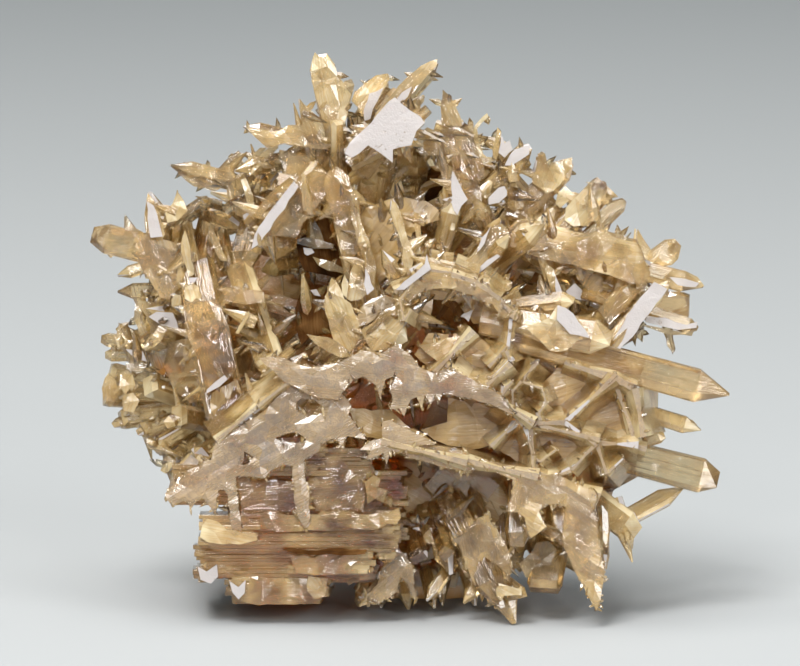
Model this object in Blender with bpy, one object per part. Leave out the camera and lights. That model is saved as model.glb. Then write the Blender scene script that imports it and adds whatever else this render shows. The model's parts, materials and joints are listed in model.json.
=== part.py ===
"""A free-standing cerussite specimen: a reticulated cluster of twinned, flattened crystals.

The cluster is one natural intergrowth, so it is built as one closed solid. Each crystal is the
convex hull of a few rings of corners, and a Boolean union joins all of them. Every place is given
in millimetres as the front view shows it: across to the right, up the view, and towards the
viewer. The front view looks down on the specimen by VIEW_TILT.
"""
from math import cos, pi, radians, sin, sqrt
import random

import bmesh
import bpy
from mathutils import Matrix, Vector

# Driving dimensions, in millimetres unless a name says otherwise
MILLIMETRE = 0.001
VIEW_TILT = radians(8.0)
FLAT_ANGLE = radians(0.5)

# The stump that the specimen rests on, and the block that cuts it flat
REST_CENTRE_ACROSS = 1.0
REST_CENTRE_DEPTH = -3.0
REST_LENGTH = 14.0
REST_DEPTH = 11.0
REST_SIDES = 9
STUMP_LOW = -1.0
STUMP_HIGH = 16.0
STUMP_TAPER = 0.8
FLOOR_CUT_WIDTH = 200.0
FLOOR_CUT_DEPTH = 12.0

# Directions of the crystal lattice in the front view, 60 degrees apart
LATTICE_FALL = radians(-18.0)
LATTICE_RISE = radians(42.0)
LATTICE_STEEP = radians(102.0)

# The middle of the cluster, where the crystals have grown into one mass
HEART_ACROSS = -2.0
HEART_UP = 22.5
HEART_TOWARD = -3.0
HEART_REACH = (17.0, 15.0, 9.5)
HEART_CORNERS = 8
# Rings of the heart from back to front: place along its depth, and share of its full reach
HEART_RINGS = ((-1.0, 0.45), (-0.3, 0.96), (0.45, 0.92), (1.0, 0.4))

# Crystals narrower than this have four sides instead of six
NARROW = 2.75

# The straight shaft is at least this share of a crystal's length
LEAST_SHAFT = 0.3

# Bevel on the long edges of a crystal, as a share of its width
CRYSTAL_BEVEL = 0.30

# Front edge of an edge plate: its flat as a share of the thickness, and how deep it is bevelled
EDGE_FLAT = 0.45
EDGE_BEVEL = 0.5

# How unevenly the slabs are broken off: their ends, their long edges and their front corners
SLAB_END_BREAK = 0.8
SLAB_EDGE_BREAK = 0.15
SLAB_CORNER_STEP = 0.2
SLAB_CORNER_BREAK = (0.3, 1.2)

# Plates that stand on the back, the sides and the underside
BACK_COUNT = 34
BACK_FIRST = 0.30
BACK_SPAN = 1.26
BACK_REACH = (17.5, 15.5, 12.0)
BACK_HALF_LENGTHS = (7.0, 9.5)
BACK_LEANS = (0.20, 0.75)
BACK_WIDTHS = (4.2, 6.4)
BACK_FLATNESS = (0.36, 0.48)

# Finish of the crystals
CRYSTAL_COLOUR = (0.56, 0.42, 0.24, 1.0)
CRYSTAL_ROUGHNESS = 0.18
CRYSTAL_IOR = 2.07

# Shapes of a crystal's tip: how far the point runs back, in widths, the length of the
# end edge as a share of the width, the thickness left at the end, and the width left at the root
TIPS = {
    "spike": (2.6, 0.06, 0.08, 0.95),
    "blade": (0.95, 0.14, 0.20, 0.90),
    "chisel": (0.50, 0.50, 0.30, 0.92),
    "blunt": (0.22, 0.78, 0.62, 0.95),
}

# Stout crystals that cross in the middle: root, tip, width in depth, and thickness
STOUT = [
    ((-22.0, 31.5, -3.0), (17.0, 19.5, -1.0), 17.0, 9.5),
    ((-17.0, 40.0, -4.0), (11.5, 33.0, -3.5), 12.0, 6.5),
    ((-20.0, 19.0, -1.0), (19.0, 9.5, 0.0), 14.0, 8.0),
]

# Crystals of each region: root, tip, width, thickness, turn about the axis in degrees, tip.
# A turn of 0 shows the broad face to the viewer, and 90 shows the thin edge.
TOP_LEFT = [
    ((-7.5, 41.0, 4.0), (-9.9, 53.7, 7.0), 2.6, 1.9, 20, "chisel"),
    ((-9.6, 42.0, 6.0), (-12.0, 49.3, 8.0), 1.9, 1.3, 15, "spike"),
    ((-7.5, 44.3, 5.0), (-17.5, 46.6, 7.0), 1.6, 1.2, -25, "blade"),
    ((-8.0, 44.4, 5.0), (-18.3, 42.2, 8.0), 2.0, 1.3, -30, "blade"),
    ((-12.5, 39.6, 4.0), (-24.8, 42.8, 6.0), 2.1, 1.4, -35, "blade"),
    ((-8.2, 42.0, 8.0), (-8.2, 47.1, 10.0), 1.4, 1.2, 30, "blunt"),
    ((-9.4, 42.0, 7.0), (-15.0, 34.0, 11.0), 4.4, 1.4, -30, "chisel"),
    ((-8.8, 43.5, 6.0), (-5.6, 30.0, 13.0), 2.8, 2.2, 20, "blade"),
    ((-13.0, 37.0, 3.0), (-7.0, 45.0, 8.0), 2.6, 1.8, 60, "chisel"),
    ((-19.0, 36.5, 2.0), (-15.5, 43.0, 6.0), 2.4, 1.6, 70, "chisel"),
    ((-15.5, 41.4, 3.0), (-17.6, 32.5, 8.0), 3.2, 1.8, 30, "chisel"),
    ((-19.0, 26.0, 2.0), (-28.5, 25.5, 2.5), 3.4, 2.6, 20, "chisel"),
]

TOP_CENTRE = [
    ((-8.0, 43.5, 5.0), (-3.2, 51.9, 3.0), 2.0, 1.4, -20, "blade"),
    ((-6.0, 44.0, 5.0), (1.7, 53.0, 5.0), 1.7, 1.1, 25, "blade"),
    ((-6.8, 42.6, 8.0), (-1.2, 49.3, 7.0), 4.6, 1.5, -15, "blunt"),
    ((-7.2, 43.3, 8.5), (0.4, 47.2, 8.5), 3.0, 1.4, -15, "blade"),
    ((4.6, 38.5, 4.0), (3.3, 47.2, 6.0), 3.4, 2.3, 15, "chisel"),
    ((3.4, 45.0, 6.0), (2.3, 50.2, 6.5), 2.2, 1.5, -10, "spike"),
    ((8.9, 39.5, 4.0), (7.7, 46.4, 4.0), 2.0, 1.3, 10, "spike"),
    ((6.2, 40.2, 5.0), (10.9, 44.7, 6.0), 2.0, 1.4, -30, "chisel"),
    ((6.4, 40.6, 7.0), (10.7, 43.3, 7.0), 1.3, 1.1, 0, "blunt"),
    ((-2.6, 42.6, 2.0), (2.8, 46.0, 4.0), 2.3, 1.3, -25, "chisel"),
    ((-6.0, 38.5, 4.0), (8.5, 43.0, 2.0), 3.4, 2.2, 75, "chisel"),
    ((0.5, 36.5, 5.0), (9.5, 42.0, 4.0), 2.8, 1.8, 65, "chisel"),
    ((-6.0, 36.0, 3.0), (-4.4, 46.2, 7.0), 5.0, 3.2, 15, "chisel"),
    ((-2.0, 36.0, 2.0), (-0.8, 45.0, 5.0), 4.0, 2.6, -15, "chisel"),
    ((2.0, 34.0, 6.0), (7.0, 41.2, 8.0), 2.4, 1.7, 30, "blade"),
    ((6.5, 34.5, 6.0), (3.4, 41.5, 9.0), 2.2, 1.6, -20, "blade"),
    ((-3.0, 29.0, 4.0), (-2.2, 41.5, 7.0), 2.6, 1.9, 30, "blade"),
    ((1.0, 30.5, 8.0), (3.6, 40.0, 8.5), 2.2, 1.6, 20, "blade"),
]

TOP_RIGHT = [
    ((12.8, 34.5, 7.0), (11.8, 44.0, 6.0), 2.1, 1.6, 25, "blade"),
    ((9.4, 37.6, 7.0), (14.8, 43.1, 7.0), 2.6, 1.7, -25, "chisel"),
    ((12.4, 34.6, 8.0), (18.3, 40.8, 8.0), 2.7, 1.9, -20, "blunt"),
    ((15.4, 34.6, 9.0), (20.1, 39.3, 9.0), 1.6, 1.1, -25, "chisel"),
    ((21.6, 28.6, 8.5), (21.2, 36.5, 8.0), 1.6, 1.2, 20, "spike"),
    ((18.6, 30.4, 6.5), (25.4, 35.2, 7.0), 1.8, 1.2, -15, "chisel"),
    ((3.6, 31.0, 7.0), (7.8, 37.4, 13.0), 1.4, 1.1, 20, "blade"),
    ((4.2, 30.4, 9.0), (8.6, 35.7, 15.0), 1.4, 1.1, 20, "blade"),
    ((5.6, 32.0, 8.0), (12.2, 37.1, 13.5), 2.6, 1.5, -10, "blade"),
    ((5.0, 37.0, 5.0), (16.5, 31.5, 9.0), 3.2, 2.0, 70, "chisel"),
    ((8.0, 42.0, 3.0), (15.5, 33.5, 4.0), 3.0, 2.2, 60, "chisel"),
    ((8.5, 32.5, 6.0), (5.4, 39.4, 11.0), 2.1, 1.5, 20, "blade"),
    ((10.5, 32.5, 5.0), (9.2, 41.0, 8.0), 2.6, 1.8, 30, "blade"),
    ((7.0, 30.0, 3.0), (14.4, 38.4, 7.0), 5.0, 3.6, 60, "chisel"),
    ((7.5, 33.2, 2.0), (21.0, 33.4, 8.0), 4.4, 2.6, 40, "chisel"),
    ((8.0, 25.6, 3.0), (21.5, 27.0, 9.0), 4.6, 2.8, 40, "chisel"),
    ((8.0, 21.0, 3.0), (22.0, 18.0, 9.0), 4.6, 3.4, 40, "chisel"),
]

RIGHT = [
    ((9.5, 36.0, 9.0), (22.6, 33.0, 10.0), 3.5, 1.8, -20, "blade"),
    ((17.5, 33.6, 9.0), (27.8, 30.7, 10.0), 2.3, 1.4, -30, "blade"),
    ((17.2, 23.6, 14.0), (24.2, 31.4, 13.0), 2.0, 1.0, -35, "blade"),
    ((20.0, 33.0, 9.0), (17.6, 26.0, 10.0), 2.4, 1.4, 55, "chisel"),
    ((17.6, 29.3, 8.0), (26.5, 28.9, 9.0), 2.6, 1.5, 15, "blunt"),
    ((16.0, 30.3, 10.0), (27.2, 26.6, 11.5), 1.8, 1.3, -40, "chisel"),
    ((6.0, 27.6, 14.0), (18.6, 25.6, 15.5), 3.6, 2.8, -25, "chisel"),
    ((8.0, 28.6, 13.0), (15.0, 29.4, 15.0), 2.2, 1.8, -40, "chisel"),
    ((9.0, 26.0, 15.0), (30.2, 20.2, 13.5), 3.5, 2.0, -25, "blade"),
    ((16.0, 20.3, 12.0), (27.5, 16.7, 12.0), 1.8, 1.2, -25, "blade"),
    ((17.5, 14.8, 12.0), (29.2, 11.8, 12.0), 3.5, 1.3, -15, "chisel"),
    ((18.6, 7.2, 13.0), (26.0, 11.2, 11.5), 2.6, 0.9, -55, "blade"),
    ((15.5, 11.0, 13.0), (21.2, 6.6, 14.0), 3.0, 1.3, 20, "chisel"),
    ((21.8, 30.2, 6.0), (12.0, 33.0, 4.0), 3.0, 2.0, 60, "chisel"),
    ((20.5, 26.6, 6.0), (10.0, 30.5, 3.0), 3.0, 2.0, 65, "chisel"),
]

LEFT = [
    ((-24.0, 33.6, 2.0), (-32.7, 36.0, 2.0), 3.0, 2.1, 10, "chisel"),
    ((-25.2, 34.0, 2.0), (-26.8, 40.2, 5.0), 1.9, 1.4, 25, "blade"),
    ((-24.4, 35.0, 2.5), (-24.1, 40.4, 4.0), 1.6, 1.2, 15, "spike"),
    ((-25.0, 37.0, 4.0), (-21.0, 39.6, 4.0), 1.2, 1.0, 0, "chisel"),
    ((-22.6, 38.6, 2.8), (-17.5, 36.6, 6.0), 1.6, 1.2, 20, "blade"),
    ((-23.4, 37.6, 2.5), (-22.2, 31.0, 7.0), 1.5, 1.2, 30, "blade"),
    ((-20.4, 38.6, 0.5), (-18.9, 31.8, 6.4), 1.7, 1.3, 30, "blade"),
    ((-26.0, 33.2, 3.0), (-30.1, 31.9, 3.0), 1.3, 1.0, 10, "blade"),
    ((-23.5, 30.6, 2.6), (-30.1, 30.3, 3.0), 1.6, 1.1, 0, "blade"),
    ((-24.5, 36.5, 0.0), (-25.0, 22.0, 3.0), 5.0, 3.2, 10, "chisel"),
    ((-20.5, 39.0, 2.0), (-23.0, 27.5, 5.0), 3.0, 2.2, 40, "chisel"),
    ((-22.0, 27.5, 4.0), (-27.2, 28.6, 6.5), 1.8, 1.4, -30, "blade"),
    ((-22.4, 27.4, 3.0), (-27.3, 24.6, 6.0), 2.0, 1.4, 20, "blade"),
    ((-22.2, 33.0, 7.0), (-18.6, 16.6, 13.5), 4.2, 1.7, 15, "chisel"),
    ((-18.0, 33.0, 7.0), (-14.0, 21.0, 12.0), 3.2, 1.6, 25, "blade"),
    ((-27.0, 25.0, 2.0), (-31.8, 25.6, 2.0), 1.4, 1.1, 10, "chisel"),
    ((-27.0, 24.0, 2.0), (-31.4, 24.0, 2.0), 1.3, 1.1, 0, "chisel"),
]

# Blunt crystals of the knobbly crust at the left edge
CRUST = [
    ((-24.5, 20.5, -1.0), (-31.0, 22.3, 0.5), 2.8, 2.6, 0, "blunt"),
    ((-24.5, 19.5, 0.0), (-31.5, 20.0, 2.0), 3.0, 2.8, 20, "blunt"),
    ((-24.0, 18.5, 1.0), (-29.8, 17.6, 3.0), 2.8, 2.6, 10, "blunt"),
    ((-23.0, 18.0, 2.0), (-27.6, 16.4, 4.0), 2.6, 2.6, 30, "blunt"),
    ((-22.5, 17.0, 2.0), (-26.0, 14.8, 5.0), 2.6, 2.4, 0, "blunt"),
    ((-22.0, 15.5, 2.0), (-25.0, 13.0, 5.0), 2.6, 2.4, 25, "blunt"),
    ((-22.0, 19.0, 1.0), (-27.0, 21.0, 6.0), 3.2, 2.6, 40, "blunt"),
    ((-21.0, 17.5, 3.0), (-24.0, 18.0, 9.0), 3.2, 2.6, 10, "blunt"),
    ((-20.0, 15.0, 4.0), (-22.0, 13.8, 11.0), 3.0, 2.4, 10, "chisel"),
]

CENTRE = [
    ((-5.6, 20.6, 4.0), (-8.5, 31.6, 15.0), 2.9, 2.1, 20, "spike"),
    ((-6.0, 28.6, 13.0), (-6.4, 33.4, 14.0), 1.7, 1.2, 15, "spike"),
    ((-4.6, 28.6, 13.0), (-5.4, 33.8, 14.0), 1.4, 1.0, 15, "spike"),
    ((-1.0, 31.5, 11.0), (-2.8, 39.4, 12.0), 1.1, 0.9, 30, "blade"),
    ((-4.2, 29.5, 12.0), (-5.9, 36.4, 14.0), 1.3, 0.9, 30, "blade"),
    ((-1.4, 30.0, 14.0), (-3.8, 34.3, 16.0), 1.5, 1.1, -20, "blade"),
    ((-2.4, 29.6, 14.0), (0.2, 33.0, 16.5), 1.5, 1.1, 10, "blade"),
    ((-9.0, 33.8, 0.0), (-15.6, 32.4, 10.4), 1.9, 1.4, 10, "blade"),
    ((1.0, 35.0, 8.0), (-2.5, 27.0, 15.0), 3.0, 2.2, 20, "chisel"),
    ((-8.0, 34.5, 6.0), (-2.0, 25.0, 15.0), 3.2, 2.4, 20, "chisel"),
]

# Lilac-grey crystals that lie across the front and show a broad face
FRONT_BANDS = [
    ((-2.0, 21.9, 17.5), (-15.8, 24.2, 19.0), 2.6, 1.8, -25, "blade"),
    ((-5.2, 23.0, 17.5), (-3.9, 19.6, 20.5), 1.6, 1.2, 10, "spike"),
    ((-11.5, 21.0, 16.5), (-20.0, 14.6, 15.5), 3.6, 2.0, -20, "blade"),
    ((-2.6, 15.2, 17.5), (-12.0, 14.6, 17.6), 2.4, 1.8, -15, "chisel"),
    ((-4.5, 17.6, 18.5), (4.0, 15.3, 18.0), 2.5, 1.6, -10, "blade"),
    ((-11.8, 15.0, 17.5), (-11.4, 7.2, 18.5), 1.4, 1.0, 10, "blade"),
    ((-18.0, 14.0, 17.0), (-17.6, 6.4, 18.0), 1.1, 0.9, 10, "blade"),
    ((-20.2, 13.0, 16.0), (-19.9, 8.6, 17.5), 1.2, 0.9, 10, "spike"),
    ((-1.2, 3.8, 12.0), (-6.0, -0.5, 14.0), 1.9, 1.4, 20, "spike"),
]

# Plates that show a thin edge and run back into the cluster:
# the two ends of the front edge, its depth, how far the plate reaches back, and its thickness
EDGE_PLATES = [
    ((-3.0, 21.3), (6.4, 20.6), 18.5, 3.0, 1.5),
    ((5.6, 20.9), (11.0, 17.4), 18.2, 2.4, 1.4),
    ((10.0, 17.6), (17.4, 15.8), 17.1, 1.5, 1.2),
    ((16.4, 16.2), (22.0, 14.9), 15.6, 2.2, 1.3),
    ((13.6, 17.2), (19.0, 22.2), 16.1, 6.2, 0.9),
    ((18.6, 22.4), (21.2, 15.0), 15.3, 3.4, 1.3),
    ((2.4, 23.1), (6.3, 20.9), 17.9, 7.3, 0.9),
    ((5.8, 20.9), (9.0, 23.8), 17.8, 7.7, 0.9),
    ((0.6, 21.6), (5.2, 26.4), 17.6, 5.1, 1.3),
    ((-3.8, 15.7), (4.5, 13.6), 18.6, 3.5, 1.4),
    ((3.8, 13.9), (11.4, 12.2), 18.1, 3.8, 1.6),
    ((10.6, 12.7), (17.4, 10.2), 17.2, 4.2, 1.9),
    ((10.6, 17.8), (11.2, 12.0), 16.9, 6.5, 1.1),
    ((6.8, 15.2), (9.8, 18.0), 17.5, 8.5, 0.9),
    ((17.0, 16.0), (18.2, 12.2), 15.5, 6.9, 0.9),
    ((-0.4, 32.2), (3.0, 31.8), 16.6, 4.6, 1.1),
    ((2.4, 31.9), (6.6, 30.9), 16.8, 4.9, 1.1),
    ((6.0, 31.1), (9.4, 27.6), 17.0, 4.3, 1.2),
    ((8.9, 28.6), (8.4, 22.6), 16.7, 5.3, 1.1),
    ((-13.0, 21.8), (-19.6, 16.0), 16.4, 3.9, 1.2),
    ((-3.4, 23.4), (1.4, 20.6), 18.0, 4.1, 2.4),
]

# Plates with a broad face towards the viewer, at the bottom of the cells
CELL_FLOORS = [
    ((11.0, 21.5, 11.0), (18.0, 17.0, 11.5), 5.0, 1.2, 10, "chisel"),
    ((1.0, 18.5, 9.0), (11.0, 14.0, 10.0), 4.6, 1.3, 10, "chisel"),
    ((2.5, 30.5, 8.0), (7.5, 22.5, 9.0), 6.0, 1.4, 20, "chisel"),
    ((-2.5, 13.5, 5.0), (1.5, 4.0, 6.0), 6.0, 1.8, 10, "chisel"),
    ((2.0, 13.0, 10.0), (8.5, 7.5, 10.0), 6.0, 1.6, 10, "chisel"),
    ((-13.0, 20.0, 12.0), (-19.0, 18.0, 10.0), 5.0, 1.4, 10, "chisel"),
    ((11.0, 15.0, 9.0), (18.0, 12.5, 10.0), 4.4, 1.5, 10, "chisel"),
]

BOTTOM = [
    ((-0.4, 6.5, 8.5), (-3.6, 3.2, 14.5), 2.8, 2.1, 15, "blunt"),
    ((-2.0, 5.0, 11.5), (-0.5, 0.1, 15.0), 1.4, 1.0, 0, "spike"),
    ((1.2, 8.0, 11.0), (3.0, 2.6, 13.5), 2.2, 1.4, 25, "blade"),
    ((2.6, 10.0, 10.8), (8.0, -0.5, 16.5), 3.0, 2.0, 15, "blade"),
    ((5.0, 10.0, 10.5), (9.1, -2.1, 16.0), 2.4, 1.8, 30, "blade"),
    ((6.2, 3.4, 13.0), (10.0, 0.5, 17.0), 1.8, 1.2, -30, "chisel"),
    ((-1.0, 8.0, 9.0), (-0.2, 4.2, 14.5), 2.0, 1.6, 20, "blunt"),
    ((1.0, 8.6, 9.0), (2.6, 4.6, 14.8), 1.7, 1.4, 30, "blunt"),
    ((13.8, 10.0, 9.0), (12.0, 1.1, 15.0), 3.5, 1.6, 15, "blunt"),
    ((15.0, 13.0, 13.5), (17.2, -0.8, 15.5), 3.4, 2.2, 20, "spike"),
    ((17.6, 10.5, 13.0), (17.8, 2.2, 15.0), 1.8, 1.3, 35, "spike"),
    ((9.8, 13.0, 13.0), (9.4, 5.4, 15.5), 2.4, 1.7, 15, "chisel"),
    ((13.2, 12.4, 13.5), (14.2, 5.6, 15.0), 2.2, 1.6, 15, "chisel"),
    ((10.8, 12.5, 15.0), (10.6, 6.2, 17.0), 1.3, 1.0, 30, "blade"),
    ((7.6, 12.0, 8.0), (8.6, 3.0, 11.0), 4.4, 2.0, 20, "chisel"),
    ((12.5, 11.0, 6.0), (12.8, 3.2, 9.0), 5.0, 2.4, 10, "chisel"),
    ((1.8, 11.0, 2.5), (0.9, 5.6, 12.5), 4.6, 3.2, 20, "chisel"),
]

# Striated slabs of parallel growth at the lower left:
# left and right, bottom and top, front and back
SLABS = [
    (-20.2, -9.0, 12.3, 16.0, 17.2, 4.6),
    (-24.4, -17.6, 9.4, 13.2, 14.2, 3.4),
    (-18.2, -4.8, 7.2, 13.6, 14.6, 2.2),
    (-11.4, -4.6, 9.6, 14.8, 16.0, 4.1),
    (-18.6, -2.0, 5.8, 8.2, 16.8, 0.3),
    (-20.4, -2.6, 4.9, 6.6, 17.5, 1.8),
    (-21.6, -15.6, 5.6, 8.5, 18.0, 5.2),
    (-21.0, -5.0, 2.4, 5.3, 16.3, 1.1),
    (-13.0, -4.4, 2.8, 5.1, 17.7, 4.4),
    (-18.8, -9.0, -0.2, 2.9, 15.5, 2.9),
    (-22.2, -19.0, 1.9, 5.5, 15.8, 5.6),
    (-19.1, -16.8, 0.3, 3.4, 16.6, 7.7),
    (-5.8, -1.2, 6.0, 12.6, 15.2, 2.6),
    (-4.6, -2.2, 4.2, 8.8, 17.3, 4.8),
]


def place(across, up, toward):
    """Turn a place in the tilted front view into a place on the specimen, still in millimetres."""
    level = toward - REST_CENTRE_DEPTH
    rise = up * cos(VIEW_TILT) + toward * sin(VIEW_TILT)
    back = up * sin(VIEW_TILT) - level * cos(VIEW_TILT)
    return Vector((across - REST_CENTRE_ACROSS, back, rise))


def hull(corners):
    """Make one closed convex solid round the corners and return its mesh."""
    shape = bmesh.new()
    for corner in corners:
        shape.verts.new(corner * MILLIMETRE)
    made = bmesh.ops.convex_hull(shape, input=shape.verts)
    spare = [item for item in made["geom_interior"] if isinstance(item, bmesh.types.BMVert)]
    bmesh.ops.delete(shape, geom=spare, context="VERTS")
    bmesh.ops.recalc_face_normals(shape, faces=shape.faces)
    bmesh.ops.dissolve_limit(shape, angle_limit=FLAT_ANGLE, verts=shape.verts, edges=shape.edges)
    mesh = bpy.data.meshes.new("crystal")
    shape.to_mesh(mesh)
    shape.free()
    return mesh


def section(centre, wide, deep, corner_count):
    """The corners of a flattened hexagon with bevelled edges, or of a diamond."""
    if corner_count == 4:
        return [centre + wide / 2, centre + deep / 2, centre - wide / 2, centre - deep / 2]
    bevel = CRYSTAL_BEVEL * min(1.0, deep.length / wide.length)
    shares = ((0.5, 0.0), (0.5 - bevel, 0.5), (bevel - 0.5, 0.5),
              (-0.5, 0.0), (bevel - 0.5, -0.5), (0.5 - bevel, -0.5))
    return [centre + wide * across + deep * through for across, through in shares]


def lath(start, end, wide, width, thickness, tip_kind, sides):
    """One flattened crystal with a faceted tip; its broad faces lie along the wide direction."""
    axis = (end - start).normalized()
    wide = (wide - axis * wide.dot(axis)).normalized()
    deep = axis.cross(wide)
    length = (end - start).length
    run, edge_share, end_thickness, root_share = TIPS[tip_kind]
    shoulder = max(length - run * width, length * LEAST_SHAFT)
    corners = section(start, wide * width * root_share, deep * thickness * root_share, sides)
    corners += section(start + axis * shoulder, wide * width, deep * thickness, sides)
    half_edge = wide * width * edge_share / 2
    half_end = deep * thickness * end_thickness / 2
    corners += [end + half_edge - half_end, end - half_edge + half_end]
    if tip_kind == "blunt":
        corners += [end + half_edge + half_end, end - half_edge - half_end]
    return hull(corners)


def crystal(root, tip, width, thickness, turn, tip_kind):
    """One crystal of the front, placed in the front view and turned about its axis."""
    start = place(*root)
    end = place(*tip)
    axis = (end - start).normalized()
    viewer = place(0, 0, 1) - place(0, 0, 0)
    wide = axis.cross(viewer)
    wide.rotate(Matrix.Rotation(radians(turn), 3, axis))
    sides = 4 if width < NARROW else 6
    return lath(start, end, wide, width, thickness, tip_kind, sides)


def edge_plate(first, second, front, back, thickness):
    """A plate that shows its bevelled front edge and runs back into the cluster."""
    along = Vector((second[0] - first[0], second[1] - first[1]))
    across = Vector((-along.y, along.x)).normalized() * thickness / 2
    corners = []
    for end in (Vector(first), Vector(second)):
        for side in (across, -across):
            corners += [place(*(end + side * EDGE_FLAT), front)]
            corners += [place(*(end + side), front - thickness * EDGE_BEVEL)]
            corners += [place(*(end + side), back)]
    return hull(corners)


def slab(left, right, bottom, top, front, back, chance):
    """One slab of parallel growth with slightly broken corners."""
    corners = []
    for across, inward in ((left, 1), (right, -1)):
        for up in (bottom, top):
            for toward in (front, back):
                shift = chance.uniform(0.0, SLAB_END_BREAK) * inward
                rise = chance.uniform(-SLAB_EDGE_BREAK, SLAB_EDGE_BREAK)
                corners += [place(across + shift, up + rise, toward)]
        middle = (bottom + top) / 2
        broken = front - chance.uniform(*SLAB_CORNER_BREAK)
        corners += [place(across - SLAB_CORNER_STEP * inward, middle, broken)]
    return hull(corners)


def back_crystals(chance):
    """Plates that stand on the back, the sides and the underside, along the lattice directions.

    The golden turn spreads their middles evenly over the ellipsoid of BACK_REACH.
    """
    plates = []
    golden_turn = pi * (3 - sqrt(5))
    reach_across, reach_up, reach_toward = BACK_REACH
    for index in range(BACK_COUNT):
        toward = BACK_FIRST - BACK_SPAN * (index + 0.5) / BACK_COUNT
        ring = sqrt(1 - toward ** 2)
        angle = golden_turn * index
        heading = Vector((ring * cos(angle), ring * sin(angle), toward))
        surface = Vector((heading.x * reach_across, heading.y * reach_up, heading.z * reach_toward))
        outward = surface.normalized()
        direction = (LATTICE_FALL, LATTICE_RISE, LATTICE_STEEP)[index % 3]
        along = Vector((cos(direction), sin(direction), chance.uniform(-0.2, 0.2)))
        if along.dot(outward) < 0:
            along = -along
        flat = (along - outward * along.dot(outward)).normalized()
        lean = chance.uniform(*BACK_LEANS)
        axis = (flat * cos(lean) + outward * sin(lean)).normalized()
        middle = Vector((HEART_ACROSS, HEART_UP, HEART_TOWARD)) + surface
        half = chance.uniform(*BACK_HALF_LENGTHS)
        start = place(*(middle - axis * half))
        end = place(*(middle + axis * half))
        wide = place(*outward) - place(0, 0, 0)
        width = chance.uniform(*BACK_WIDTHS)
        kind = chance.choice(("blade", "blade", "chisel"))
        thickness = width * chance.uniform(*BACK_FLATNESS)
        plates.append(lath(start, end, wide, width, thickness, kind, 4))
    return plates


def heart():
    """The dense middle of the cluster, a faceted mass that holds the roots of the crystals."""
    corners = []
    reach_across, reach_up, reach_toward = HEART_REACH
    for level, share in HEART_RINGS:
        for step in range(HEART_CORNERS):
            angle = 2 * pi * (step + level / 3) / HEART_CORNERS
            across = HEART_ACROSS + cos(angle) * share * reach_across
            up = HEART_UP + sin(angle) * share * reach_up
            corners.append(place(across, up, HEART_TOWARD + level * reach_toward))
    return hull(corners)


def rest_block():
    """The broken stump under the cluster whose flat underside is what it rests on."""
    corners = []
    for step in range(REST_SIDES):
        angle = 2 * pi * step / REST_SIDES
        across = REST_CENTRE_ACROSS + cos(angle) * REST_LENGTH / 2
        toward = REST_CENTRE_DEPTH + sin(angle) * REST_DEPTH / 2
        foot = place(across, 0.0, toward)
        corners.append(Vector((foot.x, foot.y, STUMP_LOW)))
        corners.append(Vector((foot.x * STUMP_TAPER, foot.y * STUMP_TAPER, STUMP_HIGH)))
    return hull(corners)


def union(meshes, name):
    """Join closed solids into one with a Boolean modifier and return the result as a mesh."""
    gather = bpy.data.collections.new("crystals to join")
    bpy.context.scene.collection.children.link(gather)
    first = bpy.data.objects.new(name, meshes[0])
    bpy.context.scene.collection.objects.link(first)
    for index, mesh in enumerate(meshes[1:]):
        gather.objects.link(bpy.data.objects.new("crystal_" + str(index), mesh))
    join = first.modifiers.new("join", "BOOLEAN")
    join.operation = "UNION"
    join.operand_type = "COLLECTION"
    join.collection = gather
    join.solver = "EXACT"
    evaluated = first.evaluated_get(bpy.context.evaluated_depsgraph_get())
    joined = bpy.data.meshes.new_from_object(evaluated)
    for item in list(gather.objects) + [first]:
        bpy.data.objects.remove(item)
    bpy.data.collections.remove(gather)
    return joined


def connected_parts(shape):
    """List the connected groups of faces of a mesh, the largest first."""
    seen = set()
    groups = []
    for face in shape.faces:
        if face.index in seen:
            continue
        seen.add(face.index)
        group = [face]
        for member in group:
            for edge in member.edges:
                for other in edge.link_faces:
                    if other.index not in seen:
                        seen.add(other.index)
                        group.append(other)
        groups.append(group)
    return sorted(groups, key=len, reverse=True)


def keep_outer_skin(mesh):
    """Flatten the faces that lie in one plane, and turn sealed hollows into solid crystal."""
    shape = bmesh.new()
    shape.from_mesh(mesh)
    angle = FLAT_ANGLE / 5
    bmesh.ops.dissolve_limit(shape, angle_limit=angle, verts=shape.verts, edges=shape.edges)
    bmesh.ops.triangulate(shape, faces=shape.faces)
    shape.faces.index_update()
    spare = [face for group in connected_parts(shape)[1:] for face in group]
    bmesh.ops.delete(shape, geom=spare, context="FACES")
    shape.to_mesh(mesh)
    shape.free()


def cut_flat(item):
    """Take away all that reaches below the surface the specimen rests on."""
    width = FLOOR_CUT_WIDTH * MILLIMETRE
    depth = FLOOR_CUT_DEPTH * MILLIMETRE
    bpy.ops.mesh.primitive_cube_add(size=1.0, location=(0, 0, -depth / 2))
    cutter = bpy.context.active_object
    cutter.scale = (width, width, depth)
    bpy.context.view_layer.update()
    cut = item.modifiers.new("rest face", "BOOLEAN")
    cut.operation = "DIFFERENCE"
    cut.solver = "EXACT"
    cut.object = cutter
    evaluated = item.evaluated_get(bpy.context.evaluated_depsgraph_get())
    trimmed = bpy.data.meshes.new_from_object(evaluated)
    item.modifiers.clear()
    item.data = trimmed
    bpy.data.objects.remove(cutter)


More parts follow.
